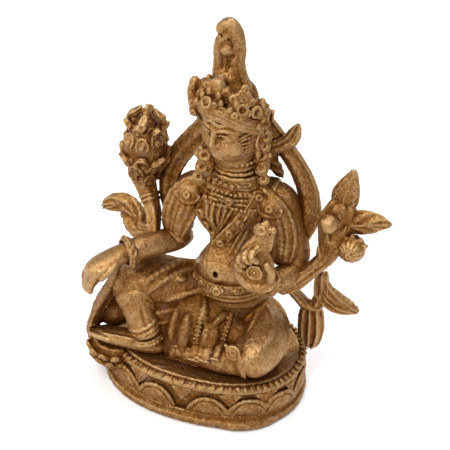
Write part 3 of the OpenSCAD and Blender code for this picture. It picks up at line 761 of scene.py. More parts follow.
def make_base():
    clay, z0, z1 = ledge("base_plate")
    edge = outline_of("base_plate")
    clay.band(edge, -edge.b - 1, 0, z0, z1, 0.2)
    piece("underside_plate", "base_plate", clay, 0.04)

    clay, z0, z1 = ledge("plinth", 2.4)
    h = z1 - z0
    clay.band(rim, -4.6, -0.1, z0, z0 + 0.66 * h, 0.75)
    clay.band(rim, -4.6, -1.0, z0 + 0.3 * h, z1, 0.3, 0.5)
    clay.line(rim, -0.55, z0 + 0.74 * h, 0.26, 0.3, cut=True)
    clay.lump((16.0, -14.6, z0 + 0.9), (6.5, 3.0, 1.1), (vec(1, 0.70, 0), vec(-0.70, 1, 0), UP), 1.5)
    clay.below(z0 - 0.1)
    piece("plinth_moulding", "plinth", clay, 0.09)

    drum = outline_of("lotus_drum")
    clay, z0, z1 = ledge("lotus_drum")
    clay.band(drum, -2.4, 0.25, z0, z1, 0.1)
    piece("lotus_core", "lotus_drum", clay, 0.10)

    petals = solids("lower_petals")
    lo, hi = low_high("lower_petals")
    clay = Clay(lo - 1.5, hi + 1.5)
    z0, z1 = lo[2], hi[2]
    tall = z1 - z0
    centres = [drum.arc_of(p.mean(0)) for p in petals]
    for arc, cloud in zip(centres, petals):
        wide = np.linalg.norm(np.ptp(cloud[:, :2], axis=0)) * 0.56
        out = drum.out(arc)

        def arch(scale, q, arc=arc, wide=wide):
            return np.array([drum.at(arc + wide * scale * u, q, z0 + 0.1 + (tall - 0.4) * (
                1 - 0.98 * abs(u) ** 2.2) ** 0.75 * (0.30 + 0.70 * scale)) for u in np.linspace(-1, 1, 15)])
        for u in np.linspace(-0.8, 0.8, 9):
            foot = drum.at(arc + wide * u, 0.35, z0 + 0.2)
            top = drum.at(arc + wide * u * 0.92, 0.75, z0 + 0.1 + (tall - 0.9) * (1 - abs(u) ** 2.2) ** 0.75)
            clay.rod(foot, top, 0.85, 0.55, 0.6)
        clay.lump(drum.at(arc, 0.35, z0 + 0.42 * tall), (wide * 0.80, tall * 0.46, 1.15),
                  (np.cross(UP, out), UP, out), 0.5)
        clay.wire(arch(1.0, 0.85), 0.38, k=0.25)
        clay.wire(arch(0.80, 1.22), 0.20, k=0.15, cut=True)
        clay.ball(drum.at(arc, 1.0, z1 - 0.3), 0.45, 0.5)
    piece("broad_petals", "lower_petals", clay, 0.10)

    gaps = solids("upper_petals")
    lo, hi = low_high("upper_petals")
    clay = Clay(lo - 1.2, hi + 1.2)
    tall = hi[2] - lo[2]
    for cloud in gaps:
        arc = drum.arc_of(cloud.mean(0))
        wide = np.linalg.norm(np.ptp(cloud[:, :2], axis=0)) * 0.60
        top = [drum.at(arc + wide * u, 0.5, hi[2] - 0.35) for u in (-1, 1)]
        tip = drum.at(arc, 0.6, lo[2] + 0.2)
        mid = drum.at(arc, 0.25, hi[2] - 0.4 * tall)
        out = drum.out(arc)
        clay.lump(mid, (wide * 0.75, tall * 0.50, 0.6), (np.cross(UP, out), UP, out), 0.2)
        clay.wire([top[0], tip, top[1]], 0.30, k=0.15)
        clay.wire([top[0], top[1]], 0.26, k=0.15)
        for w in (0.26, 0.48, 0.68):
            for u in np.arange(-2, 3) * 0.55:
                if abs(u) < wide * (1 - w) * 0.8:
                    clay.ball(drum.at(arc + u, 0.72, hi[2] - w * tall), 0.24, 0.08)
    piece("hanging_petals", "upper_petals", clay, 0.09)

    edge = outline_of("seat_rim")
    clay, z0, z1 = ledge("seat_rim")
    clay.band(edge, -3.4, -0.1, z0, z1 - 0.25, 0.45)
    clay.band(edge, -3.4, -0.75, z0 + 0.4, z1, 0.3, 0.3)
    clay.line(edge, -0.1, z1 - 0.42, 0.20, 0.2, cut=True)
    piece("rim_moulding", "seat_rim", clay, 0.08)

    lo, hi = low_high("rim_beads")
    clay = Clay(lo - 1.2, hi + 0.9)
    for cloud in solids("rim_beads"):
        arc = edge.arc_of(cloud.mean(0))
        out = edge.out(arc)
        c = edge.at(arc, -0.72, lo[2] + 0.08)
        slope = unit(out - 0.42 * UP)
        wobble = 0.12 * sin(7.3 * arc)
        worn = 0.55 if c[0] < -1 and c[1] < 0 else 1.0
        clay.lump(c, (1.0 + wobble, 0.62 * worn, 0.46 * worn),
                  (slope, np.cross(UP, out), np.cross(slope, np.cross(UP, out))), 0.1)
    piece("rim_beading", "rim_beads", clay, 0.07)

    clay, z0, z1 = ledge("seat_slab")
    top = outline_of("seat_slab")
    clay.band(top, -top.b - 1, 0.1, z0, z1, 0.5)
    piece("seat_top", "seat_slab", clay, 0.07)


def make_foot_lotus():
    lo, hi = low_high("foot_lotus")
    clay = Clay(lo - 1.3, hi + 1.3)
    r = (hi[1] - lo[1]) / 2
    c = vec(lo[0] + r, (lo[1] + hi[1]) / 2, 0)
    tall = hi[2] - lo[2]
    rows = [[*c[:2], lo[2] + tall * w, r * q, r * q] for w, q in
            ((0.10, 0.30), (0.30, 0.62), (0.52, 0.86), (0.74, 0.92), (0.95, 0.80))]
    clay.sweep(Limb.through(rows, (0, -1, 0), 2), 0.5)
    for count, height, tall_part, spread, turn in ((13, 0.16, 0.50, 1.0, 0.0), (13, 0.52, 0.44, 1.08, 0.5)):
        for i in range(count):
            a = 2 * pi * (i + turn) / count
            out = vec(cos(a), sin(a), 0)
            side = np.cross(UP, out)
            base = c + out * r * (0.42 + 0.55 * height) + UP * (lo[2] + tall * height)
            tip = c + out * r * spread + UP * (lo[2] + tall * (height + tall_part * 0.72))
            mid = (base + tip) / 2 + out * 0.35
            face = unit(np.cross(side, tip - base))
            wide = r * 0.25
            clay.lump(mid, (wide, np.linalg.norm(tip - base) * 0.62, 0.75), (side, unit(tip - base), face),
                      0.25)
            loop = [mid + side * wide * 0.78 * cos(t) + unit(tip - base) * np.linalg.norm(tip - base)
                    * 0.48 * sin(t) + face * 0.55 for t in np.linspace(-0.4, pi + 0.4, 9)]
            clay.wire(loop, 0.26, k=0.12)
            clay.ball(mid + face * 0.75 - unit(tip - base) * 0.3, 0.38, 0.15)
    wall = outline_of("seat_rim")
    keep = Clay(lo - 1.3, hi + 1.3)
    keep.band(wall, -wall.b - 1, -1.0, -5, hi[2] + 4, 0.1)
    clay.d = -blend(-clay.d, keep.d, 0.2)
    clay.below(lo[2] - 0.9)
    top = hi[2]
    x, y, z = clay.window(clay.lo, clay.lo + clay.n * clay.h)[1]
    clay.d = np.maximum(clay.d, (z - (top + 0.15) + 0 * x + 0 * y).astype(np.float32))
    piece("foot_flower", "foot_lotus", clay, 0.10)


make_base()
make_foot_lotus()


# ---------------------------------------------------------------- body
BODY = Trunk("hips", "belly", "chest", "neck", "head", "hair", "topknot")
UPWARD, LEFT, FRONT = vec(0, 0, 1), vec(1, 0, 0), vec(0, -1, 0)
L = {
    "right_arm": limb("right_arm", UPWARD),
    "right_forearm": limb("right_forearm", (1, 1, 0), UPWARD),
    "right_hand": limb("right_hand", (1, 1, 0), UPWARD),
    "left_arm": limb("left_arm", UPWARD),
    "left_forearm": limb("left_forearm", (0, 1, 0), UPWARD),
    "left_hand": limb("left_hand", (0, 0, -1), (0.2, -1, 0)),
    "right_thigh": limb("right_thigh", LEFT, UPWARD),
    "right_shin": limb("right_shin", UPWARD),
    "right_foot": limb("right_foot", LEFT, UPWARD),
    "left_thigh": limb("left_thigh", (0, 1, 0), UPWARD),
    "left_shin": limb("left_shin", LEFT, UPWARD),
    "left_foot": limb("left_foot", LEFT, UPWARD),
    "skirt_folds": limb("skirt_folds", UPWARD, (0, -1, 0.4)),
    "knee_drape": limb("knee_drape", UPWARD, LEFT),
    "thigh_drape": limb("thigh_drape", LEFT, UPWARD),
    "chest_sash": limb("chest_sash", (1, 0, 1), (0.4, -1, 0)),
    "right_scarf": limb("right_scarf", UPWARD),
    "left_scarf": limb("left_scarf", UPWARD),
    "flying_scarf_end": limb("flying_scarf_end", (-1, 0, 1)),
    "right_lotus_stem": limb("right_lotus_stem", (0, 0, -1)),
    "right_lotus_leaf": limb("right_lotus_leaf", LEFT),
    "left_lotus_stem": limb("left_lotus_stem", (0, 0, -1)),
    "left_lotus_top_leaf": limb("left_lotus_top_leaf", (0, 0, -1)),
    "left_lotus_side_leaf": limb("left_lotus_side_leaf", (-1, 0, 0)),
}


def angle(u, v):
    return np.arctan2(v, u)


def crease(x, at_x, width):
    return np.exp(-((x - at_x) / width) ** 2)


def hips_form(clay, k=0.0):
    clay.sweep(BODY.between(0, 12.8), k)


def belly_form(clay, k=0.0):
    clay.sweep(BODY.between(11.2, 29.8), k)
    clay.lump(BODY.on(24.2, 270, -4.6), (7.2, 5.8, 4.8), k=1.2)
    clay.lump(BODY.on(28.6, 194, 1.8), (3.3, 4.8, 4.6), k=1.6, cut=True)


def chest_form(clay, k=0.0):
    clay.sweep(BODY.between(28.2, 50.6), k)
    for a, z in ((240, 39.4), (300, 40.2)):
        clay.lump(BODY.on(z, a, -1.5), (3.7, 3.0, 3.8), k=1.6)
    clay.lump(BODY.on(36.8, 208, -1.7), (3.2, 3.2, 5.0), k=1.6)
    clay.lump(BODY.on(28.6, 194, 1.8), (3.3, 4.8, 4.6), k=1.6, cut=True)


def limb_form(name, k=0.0, relief=None):
    def form(clay, k=k):
        clay.sweep(L[name], k, relief)
    return form


def thigh_relief(s, u, v):
    a = angle(u, v)
    return 0.12 * np.cos(5 * a + 3 * s) * crease(s, 0.25, 0.3) + 0.10 * np.cos(3 * a - 2 * s)


def left_thigh_relief(s, u, v):
    a = angle(u, v)
    return 0.10 * np.sin(5.5 * s * 2 + 2 * a) * crease(s, 0.35, 0.3)


FORMS = {
    "hips": hips_form, "belly": belly_form, "chest": chest_form,
    "neck": lambda clay, k=0.0: clay.sweep(BODY.between(49, 55), k),
    "right_arm": limb_form("right_arm"), "right_forearm": limb_form("right_forearm"),
    "left_arm": limb_form("left_arm"), "left_forearm": limb_form("left_forearm"),
    "right_thigh": limb_form("right_thigh", relief=thigh_relief),
    "right_shin": limb_form("right_shin"), "left_shin": limb_form("left_shin"),
    "left_thigh": limb_form("left_thigh", relief=left_thigh_relief),
}


def fused(node, *neighbours, k=1.2, room=1.8):
    """Clay of a node's form, flowing into its neighbours where they meet."""
    clay = Clay.around(node, room=room)
    FORMS[node](clay)
    alone = Clay.around(node, room=room)
    alone.d = clay.d.copy()
    for other in neighbours:
        FORMS[other](clay, k)
    return clay, alone


def done(node, clay, alone=None, grain=0.06, extra=0.9, name=None):
    """Keeps a piece, trimmed to within extra millimetres of its own form."""
    if alone is not None:
        clay.kept_to(alone, extra)
    piece(name or node, node, clay, grain)


def body_line(stations, lift=0.0, per_span=8):
    """Curve on the trunk through (height, angle) stations."""
    return np.array([BODY.on(z, a, lift) for z, a in spline(stations, per_span)])


def laid(clay, stations, lift=0.0, per_span=8):
    """Curve on the clay's own skin, outside the trunk's (height, angle) stations."""
    points = body_line(stations, 0.0, per_span)
    out = np.array([unit((p - BODY.frame(p[2] - SEAT)[:3]) * vec(1, 1, 0)) for p in points])
    for _ in range(8):
        points = points - out * np.clip(clay.sample(points), -1.0, 1.0)[:, None] * 0.8
    return points + out * lift


def make_trunk():
    clay, alone = fused("hips", "belly", "left_thigh", "right_thigh")
    for z in (15.6, 17.2):
        clay.wire([BODY.on(z + 0.5 * sin(a / 17), a, 0.1) for a in range(190, 351, 5)], 0.5, k=0.4)
    done("hips", clay, alone, 0.08, name="hips_under_skirt")

    clay, alone = fused("belly", "chest", "hips")
    navel, out = BODY.on(24.3, 266, 0.35), BODY.out(24.3, 266)
    clay.ring(navel, out, 1.35, 0.34, 0.3)
    clay.lump(navel, (0.85, 1.15, 1.15), (np.cross(UP, out), UP, out), 0.15, cut=True)
    for z, bow in ((28.4, 0.7), (22.3, 1.4)):
        clay.swell([BODY.on(z - bow * cosd(a - 270), a, 0.5) for a in range(222, 322, 8)],
                   0.24, 0.4, cut=True)
    for z, r in ((18.0, 0.55), (16.8, 0.5)):
        clay.wire([BODY.on(z, a, 0.1) for a in range(190, 351, 5)], r, k=0.4)
    done("belly", clay, alone, 0.05, name="bare_belly")

    # The bodice: lapels set with rosettes, folds gathered to its lower point, and fine cords at the throat.
    clay, alone = fused("chest", "belly", "neck", "right_arm", "left_arm")
    outer = laid(clay, [(48.5, 212), (45.0, 217), (42.0, 221), (38.5, 220), (35.6, 224), (32.8, 236),
                        (30.6, 250)], 0.25)
    inner = laid(clay, [(48.6, 231), (45.6, 236), (42.0, 240), (38.1, 242), (34.4, 244), (32.0, 252)], 0.25)
    clay.wire(outer, 0.62, 0.5, 0.2)
    clay.wire(inner, 0.50, 0.42, 0.15)
    clay.wire(inner + LEFT * 1.05, 0.42, 0.34, 0.12)
    for z, a, r in ((45.4, 225, 0.9), (42.2, 230, 0.9), (38.2, 230, 1.55), (35.2, 233, 1.2), (32.9, 243, 1.0)):
        p = laid(clay, [(z, a), (z, a)], 0.35)[0]
        clay.rosette(p, BODY.out(z, a), r)
    for stations in ([(44, 250), (38.5, 249), (33.6, 252)], [(43.4, 258), (38.5, 256), (33.8, 255)],
                     [(42.8, 268), (38.8, 263), (34.4, 258)], [(42.6, 279), (39.4, 271), (35.2, 261)],
                     [(41.8, 289), (38.4, 279), (34.6, 265)], [(40.6, 297), (37.6, 287), (34.2, 270)]):
        clay.swell(laid(clay, stations, 0.12), 0.50, 0.15)
    for stations in ([(45.5, 318), (41.0, 322), (36.0, 316)], [(44.5, 330), (39.0, 334), (33.5, 324)],
                     [(37.5, 300), (34.0, 296), (30.5, 286)], [(36.0, 310), (32.5, 305), (29.8, 296)]):
        clay.swell(laid(clay, stations, 0.05), 0.5, 0.3)
    for z in np.arange(43.6, 51.0, 0.95):
        clay.wire(laid(clay, [(z - 1.5 * cosd(a - 272) + 0.8 + 0.15 * sin(a / 5.0), a)
                              for a in range(226, 331, 12)], 0.08, 4), 0.36, k=0.06)
    for z in (46.6, 43.2):
        ring = laid(clay, [(z - 1.2 * cosd(a - 276), a) for a in range(240, 325, 14)], 0.30)
        clay.beads(evenly(ring, 1.15), 0.52, 0.06)
    done("chest", clay, alone, 0.08, extra=3.0)

    clay, alone = fused("neck", "chest", k=0.8)
    for i, z in enumerate((50.8, 52.1, 53.4)):
        clay.wire([BODY.on(z - 0.5 * cosd(a - 262), a, 1.9 - 0.10 * i) for a in range(150, 391, 8)], 0.52,
                  k=0.06)
    clay.beads(evenly([BODY.on(55.1 - 0.5 * cosd(a - 262), a, 1.6) for a in range(180, 361, 8)], 1.2), 0.56,
               0.06)
    clay.sweep(BODY.between(49.5, 54.8).grown(1.3, 1.3), 0.1)
    done("neck", clay, alone, 0.07, extra=3.4)


# The head looks towards the figure's right; FACE is that way, level.
TURN = radians(248)
FACE, CHEEK = vec(cos(TURN), sin(TURN), 0), vec(-sin(TURN), cos(TURN), 0)


def face_point(across, z, lift=0.0):
    """Point on the face, across millimetres towards the figure's left, at a height above the seat."""
    r = BODY.frame(z)
    wide, deep = r[3] * 0.94, r[4] * 0.98
    s = np.clip(across / wide, -0.99, 0.99)
    return r[:3] + CHEEK * across + FACE * (deep * sqrt(1 - s * s) + lift)


def crown_plane():
    """Centre of the crown's band and the way it leans."""
    cloud = np.concatenate(solids("crown_band"))
    centre = (cloud.max(0) + cloud.min(0)) / 2
    lean = np.linalg.eigh(np.cov((cloud - cloud.mean(0)).T))[1][:, 0]
    return centre, lean * np.sign(lean[2])


CROWN, LEAN = crown_plane()


def crown_on(rise, a, lift):
    """Point on the head, rise millimetres above the middle of the leaning crown band."""
    p, axis = BODY.on(CROWN[2] - SEAT + rise, a, lift), np.cross(UP, LEAN)
    return CROWN + turned(p - CROWN, axis, degrees(asin(min(np.linalg.norm(axis), 1)))) + UP * arched(a)


def arched(a):
    """How far the crown dips towards the nape at an angle; its top stands over the forehead."""
    return 2.4 * (cosd(a - 262) - 1)


def make_head():
    axes = (CHEEK, UP, FACE)
    clay = Clay.around("head", room=2.2)
    mid = BODY.frame(61.8)[:3]
    clay.lump(mid + UP * 1.6, (6.7, 7.2, 7.2), axes)
    clay.lump(mid - UP * 2.2 + FACE * 0.9, (5.6, 4.6, 5.4), axes, 2.0)
    clay.ball(face_point(0, 57.40, -1.3), 1.9, 2.0)
    clay.sweep(BODY.between(53.6, 57.6), 1.5)
    for side in (-1, 1):
        clay.lump(face_point(side * 3.1, 59.80, -1.5), (2.5, 2.4, 2.0), axes, 1.6)
        clay.lump(face_point(side * 2.75, 62.50, 0.2), (2.0, 1.15, 0.85), axes, 0.8, cut=True)
        clay.lump(face_point(side * 2.75, 62.40, -0.75), (1.75, 0.85, 0.95), axes, 0.25)
        upper = [face_point(side * (2.75 + x), 62.55 + 0.62 * cos(x * 0.8), 0.12 - 0.05 * abs(x))
                 for x in np.linspace(-1.8, 2.0, 9)]
        clay.swell(upper, 0.22, 0.15)
        gaze = [face_point(side * (2.75 + x), 62.16 - 0.10 * cos(x), 0.16) for x in np.linspace(-1.5, 1.7, 8)]
        clay.swell(gaze, 0.12, 0.06, cut=True)
        clay.swell([p - UP * 0.42 - FACE * 0.1 for p in gaze], 0.16, 0.12)
        brow = [face_point(side * x, 63.70 + 0.75 * sin((x - 0.8) / 4.0 * pi * 0.8), 0.0)
                for x in np.linspace(0.8, 4.8, 9)]
        clay.swell(brow, 0.36, 0.5)
    bridge, tip = face_point(0, 63.50, -0.35), face_point(0, 60.30, 0.95)
    clay.rod(bridge, tip, 0.55, 0.85, 0.6)
    for side in (-1, 1):
        clay.ball(face_point(side * 0.85, 60.15, 0.10), 0.55, 0.4)
        clay.ball(face_point(side * 0.42, 59.65, 0.75), 0.2, 0.1, cut=True)
        clay.lump(face_point(side * 0.75, 58.75, 0.12), (1.15, 0.40, 0.5), axes, 0.3)
    clay.lump(face_point(0, 57.95, 0.12), (1.25, 0.48, 0.55), axes, 0.3)
    clay.swell([face_point(x, 58.38 + 0.05 * x * x, 0.5) for x in np.linspace(-1.8, 1.8, 9)], 0.13, 0.12,
               cut=True)
    clay.lump(face_point(0, 57.15, 0.35), (1.5, 0.25, 0.35), axes, 0.4, cut=True)
    mark = face_point(0, 65.00, 0.0)
    clay.ring(mark, FACE, 0.42, 0.13, 0.1)
    clay.ball(mark + FACE * 0.1, 0.25, 0.05, cut=True)
    for side in (-1, 1):
        ear = mid + CHEEK * side * 6.6 - UP * 0.6 - FACE * 0.4
        lobe = ear - UP * 4.2 + CHEEK * side * 0.7
        clay.lump(ear + CHEEK * side * 0.3, (0.9, 2.3, 1.5), axes, 0.5)
        rim_line = [ear + CHEEK * side + UP * 2.2 * sin(t) + FACE * 1.35 * cos(t)
                    for t in np.linspace(-1.4, 4.2, 14)]
        clay.wire(rim_line, 0.34, k=0.2)
        clay.rod(ear - UP * 1.8, lobe, 0.9, 0.65, 0.4)
        clay.lump(ear + CHEEK * side * 1.15 - FACE * 0.1, (0.4, 1.2, 0.6), axes, 0.2, cut=True)
    for z, size in ((65.7, 0.32), (66.1, 0.3)):
        clay.wire([face_point(x, z + 0.35 * cos(1.6 * x), 0.15) for x in np.linspace(-6.2, 6.2, 40)], size,
                  k=0.2)
    done("head", clay, grain=0.035)

    low, high = np.array([low_high(n) for n in ("hair", "head")]).transpose(1, 0, 2)
    clay = Clay(low.min(0) - 1.8, high.max(0) + vec(1.8, 1.8, 5.0))

    def combed(s, u, v):
        a = angle(u, v)
        return 0.20 * np.cos(26 * a + 1.5 * np.sin(4 * a)) + 0.08 * np.cos(47 * a)
    clay.sweep(BODY.between(66.4, 67.6).grown(-1.1, -0.2, u=-0.7), 0.0, combed)
    clay.rod(BODY.frame(70)[:3] - LEFT * 0.6, BODY.frame(75)[:3] - LEFT * 0.4, 4.2, 3.2, 1.0)
    for row, (rise, n) in enumerate(((3.0, 17), (4.8, 14))):
        for i in range(n):
            a = 360 * (i + 0.5 * (row % 2)) / n
            p = crown_on(rise, a, 0.35 - 0.6 * row)
            clay.floret(p, crown_on(rise, a, 1.5) - p, 1.05 - 0.06 * row, 0.4)
    for i in range(8):
        for mirror in (1, -1):
            a0, a1 = (296, 352) if mirror > 0 else (200, 165)
            lock = [BODY.on(mix(62.6 - 0.78 * i, 65.8 - 0.95 * i, t) + 0.25 * sin(6 * t + i),
                            mix(a0 + 2.2 * i * mirror, a1, t), 0.0)
                    for t in np.linspace(0, 1, 10)]
            clay.swell(lock, 0.42, 0.2)
    done("hair", clay, grain=0.07)


def make_topknot():
    lo, hi = low_high("topknot")
    clay = Clay(lo - 1.8, hi + 1.2)
    tall = hi[2] - lo[2]
    right, front = -vec(1, 0, 0), vec(0, -1, 0)

    def p(x, w, f):
        """x towards the figure's right, w up the knot from 0 to 1, f forward."""
        c = BODY.frame(73 + 14.6 * w)[:3]
        return vec(c[0], c[1], lo[2] + tall * w) + right * x + front * f
    clay.sweep(BODY.between(72, 85.5).grown(-1.3, -0.6), 0)
    left_strand = [p(1.6, -0.04, 0.6), p(2.2, 0.12, 0.9), p(2.3, 0.30, 0.8), p(2.35, 0.46, 0.9),
                   p(1.9, 0.62, 1.1),
                   p(0.8, 0.74, 1.3), p(-0.4, 0.80, 1.0)]
    right_strand = [p(-3.2, -0.08, 0.4), p(-2.1, 0.14, 0.9), p(-1.3, 0.32, 0.9), p(-1.8, 0.50, 0.8),
                    p(-1.8, 0.68, 0.9), p(-1.2, 0.84, 1.0), p(0.0, 0.93, 1.0), p(1.1, 0.90, 1.1),
                    p(1.9, 0.84, 1.2)]
    clay.wire(spline(left_strand, 5), 1.9, 1.35, 0.35)
    clay.wire(spline(right_strand, 5), 2.0, 1.35, 0.35)
    clay.ball(p(1.9, 0.82, 1.3), 1.25, 0.3)
    clay.wire(spline([p(2.6, 0.80, 2.0), p(1.4, 0.76, 2.3), p(0.0, 0.72, 2.3), p(-1.2, 0.62, 2.4)], 5), 0.3,
              0.2, 0.25, cut=True)
    clay.ball(p(0.3, 0.53, 1.9), 1.75, 0.3)
    clay.wire([p(0.3 - 1.75 * cos(t), 0.53 + 0.12 * sin(t), 3.0) for t in np.linspace(2.0, 6.0, 12)], 0.34,
              k=0.2, cut=True)
    clay.wire(spline([p(1.7, 0.46, 2.6), p(0.8, 0.40, 2.9), p(-0.4, 0.40, 2.9), p(-1.5, 0.48, 2.6)], 5), 0.26,
              0.16, 0.2, cut=True)
    clay.wire([p(0.1, 0.36, 2.7), p(0.0, 0.03, 3.0)], 0.45, 0.4, 0.3, cut=True)
    for strand, r in ((left_strand, 1.75), (right_strand, 1.85)):
        line = spline(strand, 5)
        for shift in (-0.45, 0.45):
            groove = [q + front * r * 0.92 + right * shift * r for q in line[2:-4]]
            clay.wire(groove, 0.13, k=0.12, cut=True)
    clay.wire([p(2.0, 0.30, -1.2), p(0, 0.42, -1.6), p(-2.0, 0.52, -1.2)], 1.2, 1.0, 0.4)
    clay.wire([p(-2.0, 0.14, -1.2), p(0, 0.24, -1.8), p(2.0, 0.36, -1.2)], 1.1, 1.0, 0.4)
    clay.ball(p(0.1, 0.96, 0.6), 1.0, 0.5)
    done("topknot", clay, grain=0.07)


def make_arms():
    for side, grains in (("right", (0.05, 0.05)), ("left", (0.07, 0.06))):
        arm, forearm = side + "_arm", side + "_forearm"
        for node, neighbours, k, grain in ((arm, ("chest", forearm), 1.2, grains[0]),
                                           (forearm, (arm,), 1.0, grains[1])):
            clay, alone = fused(node, *neighbours, k=k)
            done(node, clay, alone, grain)


def finger(clay, joints, r, r_end, back):
    """Finger through its joints, with knuckle creases across the side that faces back."""
    line = spline(joints, 4)
    clay.wire(line, r, r_end, 0.22)
    for i in (len(line) // 3, 2 * len(line) // 3):
        along = unit(line[i + 1] - line[i - 1])
        side = unit(np.cross(along, back))
        at_r = mix(r, r_end, i / len(line))
        clay.wire([line[i] + back * at_r * 0.9 + side * at_r * w for w in (-0.8, 0, 0.8)], 0.10, k=0.1,
                  cut=True)


def make_hands():
    hand = L["right_hand"]
    clay = Clay.around("right_hand", room=2.2)
    clay.sweep(hand.part(0, 0.66), 0)
    clay.sweep(hand.part(0.6, 1.0).grown(-0.5, -0.8, v=-0.3), 0.5)
    over = vec(-0.35, -0.45, 0.85)
    for i, x in enumerate((-0.80, -0.28, 0.26, 0.76)):
        def q(s, lift, x=x):
            r = hand.frame(s)
            return r[:3] + unit(r[5:8]) * x * max(r[3], 1.9) + unit(r[8:11]) * lift
        finger(clay, [q(0.42, 0.2), q(0.62, 0.45), q(0.82, 0.35), q(1.0, -0.35 - 0.12 * abs(i - 1.5))], 0.95,
               0.80, unit(over))
    r = hand.frame(0.2)
    thumb = [r[:3] + unit(r[5:8]) * 1.7, hand.frame(0.4)[:3] + unit(r[5:8]) * 3.2 - UP * 0.2,
             hand.frame(0.62)[:3] + unit(r[5:8]) * 3.4 - UP * 0.6]
    finger(clay, thumb, 0.95, 0.7, unit(over))
    done("right_hand", clay, grain=0.045)

    hand = L["left_hand"]
    lo, hi = low_high("palm_disc")
    palm = (lo + hi) / 2
    clay = Clay.around("left_hand", "palm_disc", room=2.2)
    clay.sweep(hand.part(0, 0.62), 0)
    clay.sweep(hand.part(0.5, 1.0), 0.4)
    heel = spline([palm + vec(-4.4, 0.9, 0.2), palm + vec(-3.8, 0.6, -2.6), palm + vec(-1.2, 0.5, -4.4),
                   palm + vec(2.0, 0.8, -4.6), palm + vec(4.0, 1.8, -3.2)], 5)
    clay.wire(heel, 1.15, 1.3, 0.6)
    for x, y, z in ((-4.3, 0.4, 0.6), (-4.0, 0.1, 2.4), (-2.7, -0.2, 3.8), (-1.0, -0.3, 4.6)):
        base = palm + vec(x + 1.2, 1.6, z + 1.6)
        finger(clay, [base, palm + vec(x + 0.1, -0.2, z + 0.7), palm + vec(x + 0.4, y - 0.9, z - 0.3),
                      palm + vec(x + 1.5, y - 0.6, z - 1.0)], 1.0, 0.72, FRONT)
    finger(clay, [palm + vec(3.6, 0.8, -2.0), palm + vec(3.9, -0.1, 0.8), palm + vec(2.9, -0.5, 3.0)], 1.15,
           0.8, FRONT)
    tip = hand.frame(0.97)[:3]
    finger(clay, [hand.frame(0.50)[:3] + FRONT * 0.8, hand.frame(0.72)[:3] + FRONT * 0.5, tip], 1.2, 0.9, FRONT)
    clay.rosette(tip + vec(-0.6, -0.9, -1.0), FRONT + UP * 0.3, 1.55, rim=0.26)
    for z, r in ((-0.6, 0.85), (-2.2, 0.6), (-3.4, 0.6), (-4.6, 0.55)):
        clay.ball(tip + vec(2.0 + 0.1 * z, -0.3, z), r, 0.25)
    clay.wire([tip + vec(1.8, -0.2, -1.0), tip + vec(1.2, 0.0, -6.0)], 0.7, 0.9, 0.4)
    clay.beads(evenly(heel + vec(0.2, -0.7, -0.9), 1.0), 0.42)
    done("left_hand", clay, grain=0.07)

    clay = Clay(lo - 1.6, hi + 1.6)
    clay.lump(palm, (2.0, 0.7, 2.0), k=0.1)
    clay.ring(palm - vec(0, 0.55, 0), FRONT, 1.75, 0.36, 0.15)
    clay.ring(palm - vec(0, 0.5, 0), FRONT, 0.95, 0.25, 0.1)
    clay.ball(palm - vec(0, 0.7, 0), 0.4, 0.1)
    done("palm_disc", clay, grain=0.05, name="palm_ring")


